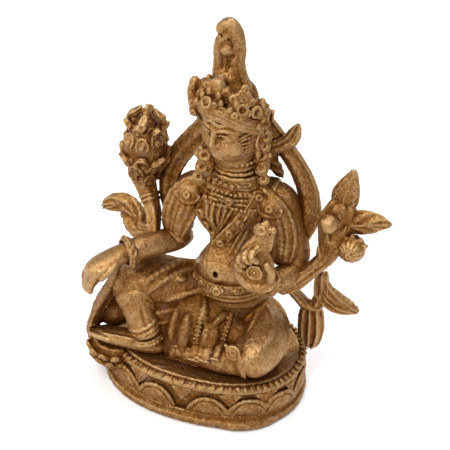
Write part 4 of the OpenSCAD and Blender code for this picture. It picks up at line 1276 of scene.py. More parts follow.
def make_legs():
    clay, alone = fused("right_thigh", "hips", "right_shin", "belly")
    leg = L["right_thigh"]
    for a, b, c, r in (((0.02, 130), (0.30, 90), (0.66, 30), 0.8), ((0.10, 90), (0.36, 55), (0.62, 8), 0.7),
                       ((0.30, 140), (0.60, 96), (0.90, 60), 0.65), ((0.0, 60), (0.2, 25), (0.42, -10), 0.6)):
        clay.swell(leg.line([a, b, c], 0.0), r, 0.7)
    clay.lump(leg.on(0.34, 48, -0.2), (2.2, 1.4, 0.9), k=0.6)
    done("right_thigh", clay, alone, 0.09, extra=1.6)

    clay, alone = fused("right_shin", "right_thigh", k=1.4)
    leg = L["right_shin"]
    for deg in (50, 132):
        clay.swell(leg.line([(0.10, deg), (0.4, deg + 6), (0.75, deg + 2)], 0.1), 0.26, 0.4, cut=True)
    for s in (0.44, 0.55, 0.64):
        clay.wire(leg.line([(s, 0), (s + 0.06, 90), (s, 180)], 0.0), 0.42, k=0.35)
    done("right_shin", clay, alone, 0.06)

    foot = L["right_foot"]
    clay = Clay.around("right_foot", room=1.6)
    clay.sweep(foot.part(0, 0.84), 0.3)
    for i, x in enumerate((1.0, 0.42, -0.1, -0.58, -1.0)):
        def q(s, lift, x=x):
            r = foot.frame(s)
            return r[:3] + unit(r[5:8]) * x * r[3] * 0.86 + unit(r[8:11]) * lift
        reach = 1.0 - 0.04 * i
        finger(clay, [q(0.60, 0.3), q(0.78, 0.35), q(reach, -0.2)], 0.85 - 0.07 * i, 0.62 - 0.05 * i, UP)
    clay.swell(foot.line([(0.05, 20), (0.35, 40), (0.7, 55)], 0.1), 0.3, 0.4)
    done("right_foot", clay, grain=0.05)

    clay, alone = fused("left_thigh", "hips", "left_shin", k=1.6)
    leg = L["left_thigh"]
    for (a, b, c) in (((0.15, 60), (0.35, 30), (0.55, -10)), ((0.25, 95), (0.5, 70), (0.75, 60)),
                      ((0.12, 120), (0.35, 118), (0.6, 128))):
        clay.swell(leg.line([a, b, c], -0.1), 0.50, 0.6)
    done("left_thigh", clay, alone, 0.06)

    clay, alone = fused("left_shin", "left_thigh", k=1.4)
    leg = L["left_shin"]
    for deg in (100, 140):
        clay.swell(leg.line([(0.25, deg - 6), (0.6, deg), (1.0, deg + 4)], 0.1), 0.5, 0.4)
    for s, deg, wide in ((0.36, 62, 1.0), (0.56, 52, 1.5), (0.74, 60, 1.0), (0.95, 50, 1.7)):
        p, out = leg.on(s, deg, 0.1), leg.out(s, deg)
        down = unit(np.cross(out, LEFT))
        clay.lump(p, (wide, 2.5, 1.0), (LEFT, down, out), 0.3)
        clay.wire([p - down * 2.3 * np.sign(down[2]) + LEFT * wide * w + out * (0.5 - 0.3 * w * w)
                   for w in np.linspace(-0.85, 0.85, 6)], 0.34, k=0.15)
    done("left_shin", clay, alone, 0.08, extra=2.2)

    foot = L["left_foot"]
    clay = Clay.around("left_foot", room=1.8)
    clay.sweep(foot, 0.3)
    for deg in (50, 85, 120):
        clay.swell(foot.line([(0.0, deg), (0.5, deg + 6), (0.95, deg)], 0.15), 0.45, 0.3)
    done("left_foot", clay, grain=0.05)


def on_sheet(tube, s, x, lift=0.0):
    """Point on the upper face of a flat limb, x of its half width towards U."""
    r = tube.frame(s)
    return r[:3] + unit(r[5:8]) * x * r[3] + unit(r[8:11]) * (r[4] * sqrt(max(1 - x * x, 0.0)) + lift)


def make_cloth():
    sheet = L["knee_drape"]
    lo, hi = low_high("knee_drape")
    clay = Clay(lo - 1.6, hi + vec(8.0, 5.0, 2.0))
    clay.sweep(sheet, 0.3, lambda s, u, v: 0.30 * np.cos(5.0 * u + 2.0 * s) * s - 0.3 * crease(u, 0.93, 0.07))
    for s in (0.84, 0.92):
        clay.beads(evenly(sheet.line([(s, 10), (s, 90), (s, 170)], 0.05), 0.85), 0.36)
    for x in (-0.5, 0.0, 0.45):
        clay.swell([on_sheet(sheet, s, x + 0.1 * s, 0.0) for s in np.linspace(0.1, 0.95, 10)], 0.55, 0.5)
    for c, radii in (((-21.5, -5.6, 21.5), (4.6, 1.5, 6.5)), ((-18.0, -5.2, 18.5), (4.2, 1.8, 4.6)),
                     ((-23.5, -6.6, 16.8), (4.0, 2.2, 3.6))):
        clay.lump(c, radii, k=1.2)
    done("knee_drape", clay, grain=0.10, name="knee_sheet")

    lap = L["skirt_folds"]
    flip = 1 if lap.frame(0.5)[5] > 0 else -1
    lo, hi = low_high("skirt_folds")
    clay = Clay(lo - 1.8, hi + vec(6.0, 3.0, 1.8))
    clay.sweep(lap, 0.3, lambda s, u, v: 0.12 * np.cos(7 * u + 1.2 * s) * (v > 0))
    clay.lump((9.6, -5.6, 19.6), (4.0, 4.6, 3.8), k=1.5)

    def over(x, s, lift=0.0):
        """Point on the lap at x, s of the way down it."""
        r = lap.frame(s)
        return on_sheet(lap, s, flip * (x - r[0]) / r[3], lift)
    for x0, x1, r, s1 in ((-3.0, -2.2, 1.4, 0.82), (-6.4, -6.0, 0.9, 0.7), (2.8, 3.4, 1.5, 0.80),
                          (4.6, 4.9, 1.3, 0.76)):
        clay.swell([over(mix(x0, x1, s), mix(0.30, s1, s), -0.1) for s in np.linspace(0, 1, 12)], r, 0.9)
    for x in (-1, 1):
        clay.swell([over(2.6 + x * (3.6 - 3.0 * t), mix(0.02, 0.34, t), 0.1) for t in np.linspace(0, 1, 8)],
                   0.8, 0.6)
    for x0, x1, s0, s1 in ((0.2, 1.2, 0.14, 0.74), (7.0, 7.4, 0.02, 0.55)):
        clay.braid([over(mix(x0, x1, s), mix(s0, s1, s), 0.5) for s in np.linspace(0, 1, 10)], 0.62, FRONT)
    for x, s, r in ((-1.4, 0.88, 1.5), (3.4, 0.84, 1.15), (5.0, 0.86, 1.0), (-4.6, 0.93, 1.3),
                    (1.3, 0.93, 1.1)):
        p = over(x, s, 0.4)
        down = unit(over(x, min(s + 0.08, 1.0)) - over(x, s - 0.08))
        clay.lump(p, (r, r * 1.25, r * 0.75), (LEFT, down, np.cross(LEFT, down)), 0.35)
        clay.wire([p + down * r * 1.15 + LEFT * r * w + FRONT * (0.5 - 0.4 * w * w)
                   for w in np.linspace(-0.9, 0.9, 6)], 0.3, k=0.15)
    done("skirt_folds", clay, grain=0.10)

    tube = L["thigh_drape"]
    clay = Clay.around("thigh_drape", room=1.6)
    clay.sweep(tube, 0.3, lambda s, u, v: 0.28 * np.cos(6 * angle(u, v) + 2.5 * s))
    for deg in (20, 48, 76, 104, 140):
        clay.swell(tube.line([(0.02, deg + 6), (0.5, deg), (0.96, deg - 4)], 0.1), 0.5, 0.4)
    done("thigh_drape", clay, grain=0.09)

    clay = Clay.around("shoulder_drapes", room=2.0)
    for rings in cad_rings("shoulder_drapes", UPWARD):
        tube = Limb.of(rings, (0, -1, 0))
        if tube.C[0][0] > 3:
            tube = tube.grown(-0.6, u=-0.7 * np.sign(tube.rows[0][5]))
        clay.sweep(tube, 0.6, lambda s, u, v: 0.14 * np.cos(9 * u + 3 * s))
        for x0, x1, s0, s1, r in ((-0.92, -0.9, 0.12, 0.96, 0.42), (-0.55, -0.62, 0.25, 0.98, 0.58),
                                  (-0.2, -0.25, 0.36, 0.9, 0.40), (0.1, 0.12, 0.22, 0.98, 0.62),
                                  (0.48, 0.36, 0.30, 0.94, 0.45), (0.9, 0.86, 0.15, 0.98, 0.5)):
            clay.swell([on_sheet(tube, mix(s0, s1, t), mix(x0, x1, t) + 0.05 * sin(5 * t), 0.05)
                        for t in np.linspace(0, 1, 14)], r, 0.35)
        cap = on_sheet(tube, 0.22, 0.0, -0.3)
        clay.lump(cap, (2.9, 1.5, 2.4), k=0.8)
        clay.rosette(cap + FRONT * 1.3, FRONT + UP * 0.5, 1.1)
        edge = [cap + vec(2.9 * cos(t), -0.9, 2.4 * sin(t)) for t in np.linspace(pi, 2 * pi, 12)]
        clay.wire(edge, 0.42, k=0.25)
    done("shoulder_drapes", clay, grain=0.08)


make_trunk()
make_head()
make_topknot()
make_arms()
make_hands()
make_legs()
make_cloth()


# ---------------------------------------------------------------- jewellery and crown
def make_jewels():
    clay = Clay.around("belt", room=1.6)
    lo, hi = low_high("belt")
    z0, z1 = lo[2] - SEAT, hi[2] - SEAT
    for z, lift, r in ((z0 + 0.1, 0.45, 0.45), (z1 - 0.1, 0.35, 0.40)):
        clay.wire([BODY.on(z, a, lift) for a in range(0, 361, 6)], r, k=0.2)
    for z, lift, r in ((mix(z0, z1, 0.38), 0.6, 0.48), (mix(z0, z1, 0.72), 0.5, 0.42)):
        ring = evenly([BODY.on(z, a, lift) for a in range(0, 361, 4)], 2.05 * r)
        clay.beads(ring[:-1], r)
    clay.wire([BODY.on(mix(z0, z1, 0.5), a, 0.0) for a in range(0, 361, 6)], 0.55, k=0.2)
    for a in (215, 238, 300, 322):
        clay.rosette(BODY.on(mix(z0, z1, 0.5), a, 0.85), BODY.out(z0, a), 0.85)
    done("belt", clay, grain=0.07)

    lo, hi = low_high("belt_clasp")
    c, out = (lo + hi) / 2, vec(0, -1, 0.1)
    clay = Clay(lo - 1.2, hi + 1.2)
    clay.rosette(c, out, 1.35, rim=0.24)
    clay.rod(c + vec(-1.5, 0.2, -0.4), c + vec(1.5, 0.2, 0.5), 0.5, k=0.3)
    done("belt_clasp", clay, grain=0.05)

    clay = Clay.around("necklace_collar", room=1.8)
    strand = np.array([s.mean(0) for s in solids("necklace_collar")])
    order = np.argsort([atan2(p[0] - BODY.frame(50)[0], -(p[1] - BODY.frame(50)[1])) for p in strand])
    strand = spline(strand[order], 5)
    inward = np.array([unit(BODY.frame(p[2] - SEAT)[:3] - p) * vec(1, 1, 0) for p in strand])
    clay.beads(evenly(strand, 1.0), 0.50, 0.06)
    clay.wire(strand + inward * 0.3, 0.5, k=0.1)
    for rise, sink, r in ((0.95, 0.35, 0.34), (1.7, 0.7, 0.30), (-0.95, -0.35, 0.34)):
        clay.wire(strand + UP * rise + inward * sink, r, k=0.12)
    for i in range(2, len(strand) - 1, 5):
        clay.floret(strand[i] - UP * 1.4 - inward[i] * 0.7, -inward[i], 0.62)
    done("necklace_collar", clay, grain=0.05, name="collar")

    clay = Clay.around("long_necklace", room=1.5)
    pearls = np.array([s.mean(0) for s in solids("long_necklace")])
    order = np.argsort(pearls[:, 0])
    line = spline(pearls[order], 4)
    clay.beads(evenly(line, 0.98), 0.50)
    clay.wire(line + np.array([unit(BODY.frame(p[2] - SEAT)[:3] - p) * vec(1, 1, 0) * 0.35 for p in line]),
              0.34, k=0.1)
    low = line[np.argmin(line[:, 2])]
    out = unit((low - BODY.frame(low[2] - SEAT)[:3]) * vec(1, 1, 0))
    clay.rosette(low + out * 0.3 - UP * 0.5, out, 1.1, rim=0.2)
    done("long_necklace", clay, grain=0.05)

    clay = Clay.around("chest_sash", room=1.2)
    sash = L["chest_sash"]
    clay.sweep(sash, 0.2)
    for side in (0.92, -0.92):
        line = [sash.frame(s)[:3] + unit(sash.frame(s)[5:8]) * side * sash.frame(s)[3]
                + unit(sash.frame(s)[8:11]) * 0.35 for s in np.linspace(0, 1, 22)]
        clay.wire(line, 0.28, k=0.15)
    for s in (0.08, 0.30, 0.50, 0.70, 0.90):
        clay.rosette(sash.on(s, 90, 0.1), sash.out(s, 90), 1.12)
    done("chest_sash", clay, grain=0.06)

    # A wrist ring carries a rosette and a leaf; the ankle ring, below this height, is plain.
    wrists_above = SEAT + 12
    clay = Clay.around("bangles", room=1.5)
    for cloud in solids("bangles"):
        c = cloud.mean(0)
        axes = np.linalg.eigh(np.cov((cloud - c).T))[1]
        axis = axes[:, 0]
        r = np.linalg.norm((cloud - c) - np.outer((cloud - c) @ axis, axis), axis=1)
        mean, thick = (r.max() + r.min()) / 2, (r.max() - r.min()) / 2
        u = unit(np.cross(axis, vec(0.2, 1, 0.1)))
        v = np.cross(axis, u)
        ring = [c + (u * cos(t) + v * sin(t)) * mean for t in np.linspace(0, 2 * pi, 49)]
        clay.ring(c, axis, mean, thick * 0.95)
        for shift in (-0.75, 0.75):
            clay.ring(c + axis * shift, axis, mean - 0.1, thick * 0.62, 0.2)
        clay.beads(evenly(np.array(ring) + (np.array(ring) - c) / mean * thick * 0.75, 0.86)[:-1], 0.40)
        out = unit(vec(0, -1, 0.35) - axis * np.dot(vec(0, -1, 0.35), axis))
        if c[2] > wrists_above:
            clay.rosette(c + out * (mean + thick), out, 1.15, rim=0.2)
            clay.leaf(c + out * (mean + thick * 0.6), c + out * (mean + thick * 0.6) + UP * 2.6, out, 1.9,
                      0.7, 0.15)
    done("bangles", clay, grain=0.06)

    lo, hi = low_high("hem_disc")
    c = (lo + hi) / 2
    clay = Clay(lo - 1.2, hi + 1.2)
    out = unit(vec(-0.17, -0.97, 0.17))
    r = (hi[0] - lo[0]) / 2
    side = unit(np.cross(out, UP))
    up = np.cross(side, out)
    clay.lump(c, (r, r, 0.85), (side, up, out), 0.1)
    clay.ring(c + out * 0.45, out, r * 0.82, 0.36, 0.15)
    clay.ring(c + out * 0.55, out, r * 0.40, 0.30, 0.12)
    clay.ball(c + out * 0.9, 0.42, 0.08, cut=True)
    clay.rod(c + side * r * 0.7 + up * 0.6, c + side * r * 1.15 + up * 1.0, 0.5, k=0.2)
    done("hem_disc", clay, grain=0.05)


def crown_dip(cloud):
    """How far a leaf or rosette goes down with the arch of the crown."""
    x, y = (cloud.mean(0) - CROWN)[:2]
    return 1.9 * arched(degrees(atan2(y, x))) - 0.3


def make_crown():
    clay = Clay.around("crown_band", room=2.0)
    clay.wire([crown_on(0, a, 0.3) for a in range(0, 361, 6)], 1.0)
    for rise, lift, r in ((0.95, 0.75, 0.46), (0.1, 1.0, 0.44), (-0.65, 0.95, 0.40)):
        clay.wire([crown_on(rise + 0.15 * sin(a / 13.0), a, lift) for a in range(0, 361, 4)], r, k=0.12)
    clay.wire([crown_on(0.5 + 0.6 * sind(a * 8), a, 1.25) for a in range(0, 361, 2)], 0.2, k=0.1)
    brow = np.array([crown_on(-1.45, a, 0.55) for a in range(150, 361, 3)])
    clay.wire(brow - UP * 0.1, 0.5, k=0.2)
    clay.beads(evenly(brow, 1.05), 0.52, 0.06)
    clay.wire([crown_on(-2.15, a, 0.45) for a in range(170, 350, 3)], 0.3, k=0.15)
    done("crown_band", clay, grain=0.06)

    lo, hi = low_high("crown_leaves")
    clay = Clay(lo - vec(4.6, 2.4, 3.0), hi + 2.4)
    for cloud in solids("crown_leaves"):
        cloud = cloud + UP * crown_dip(cloud)
        c = cloud.mean(0)
        high = (cloud - c) @ LEAN
        root, tip = cloud[high < high.min() + 1.0].mean(0), cloud[high > high.max() - 0.6].mean(0)
        hub = BODY.frame(c[2] - SEAT)[:3]
        out = unit((c - hub) * vec(1, 1, 0))
        up = unit(tip - root)
        side = unit(np.cross(out, up))
        long = np.linalg.norm(tip - root)
        size = long / 7.8
        clay.lump((root + tip) / 2 - up * 1.0, (2.6, long * 0.42, 1.5), (side, up, out), 0.6)
        for x in (-1, 1):
            for across, rise, r in ((2.2, 4.2, 1.15), (0.9, 5.6, 0.9), (1.2, 2.8, 1.05), (2.4, 1.4, 0.9),
                                    (0.9, 0.6, 1.0)):
                spot = root + side * x * across + up * rise * size + out * (1.0 - 0.1 * across)
                if rise in (4.2, 0.6):
                    clay.floret(spot, out + side * x * 0.3, r, 0.4)
                else:
                    clay.lump(spot + out * 0.2, (r * 0.8, r * 1.1, r * 0.8), (side, up, out), 0.3)
        clay.floret(root + up * 4.8 * size + out * 1.2, out, 1.0, 0.25)
        clay.lump(root + up * 6.2 * size + out * 0.4, (1.1, 1.5, 1.0), (side, up, out), 0.4)
    for i, a in enumerate(range(160, 401, 13)):
        p = crown_on(2.7 + 1.5 * (i % 2), a, 0.9)
        out = unit(crown_on(2.7, a, 2.4) - crown_on(2.7, a, 0.9))
        if i % 3:
            clay.lump(p, (0.9 + 0.2 * sin(3 * i), 1.2, 0.9), (np.cross(UP, out), UP, out), 0.35)
        else:
            clay.floret(p, out, 1.05, 0.35)
    for a, rise, lift, r in ((196, 3.4, 2.9, 1.5), (188, 1.6, 2.6, 1.5), (186, 0.0, 1.8, 1.9),
                             (190, -2.2, 1.3, 1.7)):
        p = crown_on(rise, a, lift)
        clay.lump(p, (r * 0.9, r * 0.9, r * 1.35), k=0.7)
        clay.floret(p + FRONT * r * 0.7, FRONT, r * 0.55, 0.2)
    done("crown_leaves", clay, grain=0.09)

    clay = Clay.around("crown_rosettes", room=5.0)
    for a, rise in ((246, 1.3), (299, 2.6), (322, 3.0), (15, 2.6), (190, 3.0)):
        c = crown_on(rise, a, 2.1)
        out = unit(c - crown_on(rise, a, 0.0) + UP * 0.3)
        clay.lump(c - out * 0.5, (1.3, 1.3, 1.2), (np.cross(UP, out), UP, out), 0.1)
        clay.ring(c + out * 0.35, out, 1.15, 0.44, 0.1)
        clay.ball(c + out * 0.6, 0.72, 0.1, cut=True)
    done("crown_rosettes", clay, grain=0.06)

    clay = Clay(*(np.array(low_high("earrings")) + [[-3.4, -3.6, -8.5], [4.4, 3.0, 8.0]]))
    for cloud in solids("earrings"):
        c = cloud.mean(0)
        out = unit(vec(0.25, -1.0, 0.45))
        side = unit(np.cross(UP, out))
        clay.lump(c + vec(0, 0.9, -2.4), (2.2, 1.4, 4.4), k=0.8)
        clay.rosette(c, out, 1.75, rim=0.30)
        clay.ring(c + out * 0.7, out, 0.9, 0.32, 0.1)
        for t in np.linspace(0, 2 * pi, 7)[:-1]:
            clay.ball(c + (side * cos(t) + UP * sin(t)) * 2.0 + out * 0.1, 0.66, 0.15)
        clay.ball(c - UP * 2.6, 0.8, 0.2)
        outward = 1 if c[0] > CROWN[0] else -1
        for drop, x, r in ((3.4, 0.5, 1.45), (6.2, 1.2, 1.2),
                           *(((-2.7, 0.6, 1.35), (-5.2, 0.9, 1.25)) if outward > 0 else ())):
            q = c + vec(outward * x, -0.3, -drop)
            clay.rosette(q, out + UP * 0.2, r, rim=0.22)
            clay.ball(q + UP * 1.3, 0.7, 0.3)
            clay.ball(q - UP * 1.2, 0.65, 0.3)
    done("earrings", clay, grain=0.06)

    clay = Clay.around("crown_ribbons", room=1.5)
    for rings in cad_rings("crown_ribbons", (0, 0, -1)):
        tube = Limb.of(rings, (0, -1, 0))
        clay.sweep(tube, 0, lambda s, u, v: -0.5 * crease(u, 0.15, 0.22) * (v > 0) + 0.12 * np.cos(9 * u))
        clay.wire([tube.on(s, 5, 0.0) for s in np.linspace(0.05, 0.9, 12)], 0.3, 0.2, 0.2)
        clay.wire([tube.on(s, 175, 0.0) for s in np.linspace(0.05, 0.9, 12)], 0.3, 0.2, 0.2)
    done("crown_ribbons", clay, grain=0.07)

    clay = Clay.around("hair_locks", room=1.4)
    for rings in cad_rings("hair_locks", UPWARD):
        tube = Limb.of(rings, (0, -1, 0))
        clay.sweep(tube, 0, lambda s, u, v: 0.22 * np.cos(3 * angle(u, v) + 22 * s))
    done("hair_locks", clay, grain=0.08)


# ---------------------------------------------------------------- scarves and lotuses
def scarf_relief(folds, depth, lean=0.0):
    def relief(s, u, v):
        rolled = 0.28 * (crease(u, 0.95, 0.16) + crease(u, -0.95, 0.16))
        return rolled + depth * np.cos(folds * pi * (u + lean * s)) * np.sign(v) * 0.9
    return relief


def make_scarves():
    for node in ("right_scarf", "left_scarf"):
        clay = Clay.around(node, room=1.4)
        clay.sweep(L[node], 0, scarf_relief(1.6, 0.24, 0.5))
        done(node, clay, grain=0.08)

    clay = Clay.around("flying_scarf_end", room=1.5)
    tube = L["flying_scarf_end"]
    clay.sweep(tube, 0, scarf_relief(2.2, 0.30, 0.4))
    tip = tube.frame(0.98)[:3]
    root = tube.frame(0.30)[:3]
    across = unit(np.cross(tip - root, FRONT))
    for shift, reach in ((1.3, 0.86), (-1.6, 0.74)):
        end = mix(root, tip, reach) + across * shift
        clay.leaf(mix(root, tip, 0.1) + across * shift * 0.5, end, FRONT, 2.0, 1.1, 0.4)
        clay.ball(end, 0.5, 0.3)
    for shift in (-0.9, 0.0, 0.9):
        line = [tube.frame(s)[:3] + unit(tube.frame(s)[5:8]) * shift * tube.frame(s)[3] * 0.6
                + unit(tube.frame(s)[8:11]) * tube.frame(s)[4] for s in np.linspace(0.15, 0.8, 14)]
        clay.swell(line, 0.25, 0.25, cut=True)
    done("flying_scarf_end", clay, grain=0.08)

    lo, hi = low_high("hanging_scarf_end")

    def rows(*fractions):
        return [[*(lo + (hi - lo) * vec(f[:3])), f[3], f[4]] for f in fractions]
    lobe = Limb.through(rows((0.62, 0.58, 0.53, 2.2, 1.2), (0.64, 0.64, 0.38, 3.1, 1.5),
                             (0.65, 0.71, 0.19, 3.1, 1.5),
                             (0.65, 0.76, 0.075, 2.3, 1.3), (0.65, 0.78, 0.02, 1.0, 0.8)), (0, -1, 0), 4)
    outer = Limb.through(rows((0.85, 0.19, 0.97, 1.2, 1.1), (0.87, 0.35, 0.79, 1.4, 1.2),
                              (0.80, 0.48, 0.635, 1.5, 1.2),
                              (0.71, 0.55, 0.53, 1.3, 1.1)), (0, -1, 0), 4)
    inner = Limb.through(rows((0.085, 0.17, 0.79, 0.9, 0.9), (0.19, 0.32, 0.69, 1.1, 1.0),
                              (0.36, 0.45, 0.60, 1.2, 1.1),
                              (0.50, 0.53, 0.525, 1.2, 1.0)), (0, -1, 0), 4)
    clay = Clay.around("hanging_scarf_end", room=1.6)
    clay.sweep(lobe, 0, lambda s, u, v: 0.38 * np.cos(3.2 * pi * u) * np.sign(v)
               + 0.2 * crease(np.abs(u), 0.95, 0.2))
    clay.sweep(outer, 0.5, scarf_relief(1.5, 0.22, 0.3))
    clay.sweep(inner, 0.5, scarf_relief(1.5, 0.18, 0.3))
    knot = lobe.frame(0.02)[:3]
    clay.lump(knot + vec(0, -0.4, 0.2), (2.5, 1.4, 1.0), k=0.4)
    clay.wire([knot + vec(x, -1.5 + 0.06 * x * x, 0.2) for x in np.linspace(-2.2, 2.2, 8)], 0.3, k=0.15)
    done("hanging_scarf_end", clay, grain=0.08)


def make_right_lotus():
    clay = Clay.around("right_lotus_stem", room=1.6)
    stem = L["right_lotus_stem"]
    clay.sweep(stem, 0, lambda s, u, v: 0.16 * np.cos(5 * angle(u, v) + 6 * s))
    for s in (0.40, 0.46, 0.74, 0.80, 0.86):
        r = stem.frame(s)
        along = unit(stem.frame(s + 0.03)[:3] - stem.frame(s - 0.03)[:3])
        clay.ring(r[:3], along, r[3] * 0.96, 0.42, 0.2)
    done("right_lotus_stem", clay, grain=0.07)

    clay = Clay.around("right_lotus_leaf", room=1.6)
    leaf = L["right_lotus_leaf"]
    clay.sweep(leaf, 0, lambda s, u, v: 0.26 * np.cos(2.0 * pi * (np.abs(u) * 1.3 - 2.6 * s)) * (v > 0)
               - 0.4 * crease(u, 0, 0.12) * (v > 0))
    clay.swell(leaf.line([(0.02, 0), (0.20, 0), (0.48, 0)], 0.2), 1.7, 0.8)
    for s, deg, reach in ((0.45, 0, 1.6), (0.62, 0, 1.9)):
        root = leaf.on(s, deg, -1.0)
        clay.leaf(root, leaf.on(min(s + 0.16, 1), deg, reach), FRONT, 1.9, 1.1, 0.3)
    done("right_lotus_leaf", clay, grain=0.09)

    # One dense flower in three pieces: a cup of low petals, the open ring of petals, and the tip.
    lo, hi = low_high("right_lotus_cup")
    top = low_high("right_lotus_tip")[1][2]
    c, r = (lo + hi) / 2, (hi[0] - lo[0]) / 2

    def heart(z, turn):
        """Point on the flower's body at height z."""
        q = np.interp((z - lo[2]) / (top - lo[2]), [0, 0.15, 0.35, 0.6, 0.8, 1.0],
                      [0.54, 0.92, 0.98, 0.60, 0.26, 0.07])
        return vec(c[0] + cos(turn) * r * q, c[1] + sin(turn) * r * q, z)

    def scales(clay, z, n, turn, rise, wide, lift):
        for i in range(n):
            t = 2 * pi * (i + turn) / n
            wobble = 0.5 * sin(3.7 * i + 5.1 * turn + z)
            out = vec(cos(t), sin(t), 0)
            side = np.cross(UP, out)
            root = heart(z + wobble, t) - out * 0.5
            tip = heart(z + rise + wobble, t) + out * lift
            along, long = unit(tip - root), np.linalg.norm(tip - root)
            face, mid = unit(np.cross(side, along)), (root + tip) / 2
            clay.lump(mid, (wide * 0.5, long * 0.56, 0.95), (side, along, face), 0.35)
            clay.wire([mid + side * wide * 0.42 * cos(w) + along * long * 0.5 * sin(w) + face * 0.62
                       for w in np.linspace(-0.5, pi + 0.5, 10)], 0.34, k=0.12)
            clay.floret(mid + face * 0.8 - along * long * 0.08, face, 0.68 + 0.1 * sin(9 * t))
    clay = Clay(lo - vec(2.2, 2.2, 6.5), hi + 2.2)
    clay.rod(vec(c[0], c[1], lo[2] + 1.0), vec(c[0] - 1.4, c[1], lo[2] - 4.5), r * 0.62, 2.0, 0.5)
    scales(clay, lo[2] - 4.6, 5, 0.35, 4.2, 3.2, 0.5)
    body = [[*c[:2], z, heart(z, 0)[0] - c[0], heart(z, 0)[0] - c[0]]
            for z in np.linspace(lo[2] + 0.3, hi[2] + 0.5, 9)]
    clay.sweep(Limb.through(body, (0, -1, 0), 1), 0)
    scales(clay, lo[2] - 1.4, 7, 0.2, 4.6, 3.9, 0.7)
    scales(clay, hi[2] - 3.0, 8, 0.0, 3.6, 3.4, 0.1)
    done("right_lotus_cup", clay, grain=0.10)

    clay = Clay.around("right_lotus_petals", room=2.6)
    for cloud in solids("right_lotus_petals"):
        m = cloud.mean(0)
        out = unit((m - c) * vec(1, 1, 0))
        low, high = cloud[:, 2].min(), cloud[:, 2].max()
        root = vec(m[0], m[1], low - 0.9) - out * 1.7
        tip = vec(m[0], m[1], high - 2.6) - out * 3.0
        clay.petal(root, tip, out + UP * 0.2, 4.4, 1.9, 0.36, 0.4, 0.3)
        clay.floret((root + tip) / 2 + out * 1.0 - UP * 0.2, out, 0.95)
    scales(clay, low - 1.8, 7, 0.5, 4.2, 3.8, 0.7)
    scales(clay, high - 1.6, 8, 0.25, 3.8, 3.5, 0.4)
    done("right_lotus_petals", clay, grain=0.10)

    lo, hi = low_high("right_lotus_tip")
    clay = Clay(lo - 2.0, hi + 1.3)
    tall = hi[2] - lo[2]
    body = [[c[0], c[1], z, w, w] for z, w in zip(np.linspace(lo[2] - 1.0, hi[2], 6),
                                                  (2.5, 2.1, 1.7, 1.3, 0.8, 0.3))]
    clay.sweep(Limb.through(body, (0, -1, 0), 2), 0)
    scales(clay, lo[2] - 1.2, 6, 0.4, 3.4, 2.6, -0.3)
    scales(clay, lo[2] + tall * 0.30, 4, 0.1, tall * 0.45, 1.8, -0.3)
    done("right_lotus_tip", clay, grain=0.09)


def make_left_lotus():
    clay = Clay.around("left_lotus_stem", room=1.6)
    stem = L["left_lotus_stem"]
    clay.sweep(stem, 0, lambda s, u, v: 0.22 * np.cos(4 * angle(u, v) + 7 * s)
               + 0.12 * np.cos(9 * angle(u, v) - 3 * s))
    for s, deg in ((0.52, 40), (0.60, 130), (0.70, 70), (0.80, 120), (0.84, 40), (0.92, 90)):
        clay.leaf(stem.on(s - 0.08, deg, -0.4), stem.on(s + 0.08, deg, 0.7), stem.out(s, deg), 1.9, 0.9, 0.25)
    done("left_lotus_stem", clay, grain=0.08)

    clay = Clay.around("left_lotus_top_leaf", room=1.5)
    leaf = L["left_lotus_top_leaf"]
    clay.sweep(leaf, 0)
    for s in (0.08, 0.26, 0.43, 0.58, 0.71):
        r = leaf.frame(s)
        for x in (-0.45, 0.45):
            p = r[:3] + unit(r[5:8]) * x * r[3] + unit(r[8:11]) * r[4] * 0.75
            clay.ring(p, FRONT, r[3] * 0.34, 0.26, 0.12)
    clay.wire([leaf.on(s, 90, 0.05) for s in np.linspace(0.05, 0.95, 16)], 0.26, 0.16, 0.15)
    for deg in (0, 180):
        clay.wire([leaf.on(s, deg, -0.1) for s in np.linspace(0.0, 0.97, 18)], 0.36, 0.26, 0.2)
    done("left_lotus_top_leaf", clay, grain=0.08)

    clay = Clay.around("left_lotus_side_leaf", room=1.5)
    leaf = L["left_lotus_side_leaf"]
    clay.sweep(leaf, 0, lambda s, u, v: 0.22 * np.cos(2 * pi * (np.abs(u) * 1.2 - 2.4 * s)) * (v > 0))
    clay.wire([leaf.on(s, 90, 0.1) for s in np.linspace(0.0, 0.95, 16)], 0.32, 0.18, 0.15)
    for deg in (0, 180):
        clay.wire([leaf.on(s, deg, -0.1) for s in np.linspace(0.0, 0.97, 18)], 0.36, 0.24, 0.2)
    done("left_lotus_side_leaf", clay, grain=0.08)

    lo, hi = low_high("left_lotus_ball")
    c, r = (lo + hi) / 2, (hi[0] - lo[0]) / 2
    clay = Clay(lo - 1.2, hi + 1.2)
    clay.ball(c, r)
    clay.ring(c + vec(0, 0.6, -0.3), vec(0.1, 1, 0.2), r * 0.98, 0.42, 0.2)
    done("left_lotus_ball", clay, grain=0.05)

    lo, hi = low_high("left_lotus_bud")
    c, r = (lo + hi) / 2, (hi[0] - lo[0]) / 2
    clay = Clay(lo - 1.4, hi + 1.4)
    clay.lump(c, (r, r, r * 1.02))
    for t in np.linspace(0, pi, 7)[:-1]:
        axis = vec(cos(t), 0.35 * sin(t), sin(t) * 0.94)
        clay.ring(c, unit(axis - FRONT * np.dot(axis, FRONT)), r * 1.02, 0.22, 0.15, cut=True)
    clay.rosette(c + vec(0, -r * 0.95, 0), FRONT, 0.9)
    for t in np.linspace(0.5, 2.6, 5):
        out = vec(-cos(t), -0.2, sin(t))
        clay.leaf(c + out * r * 0.7, c + out * (r + 1.2), FRONT, 1.8, 0.9, 0.25)
    done("left_lotus_bud", clay, grain=0.06)


make_jewels()
make_crown()
make_scarves()
make_right_lotus()
make_left_lotus()


# ---------------------------------------------------------------- shared hollows
FLOOR_SHADE = 0.35


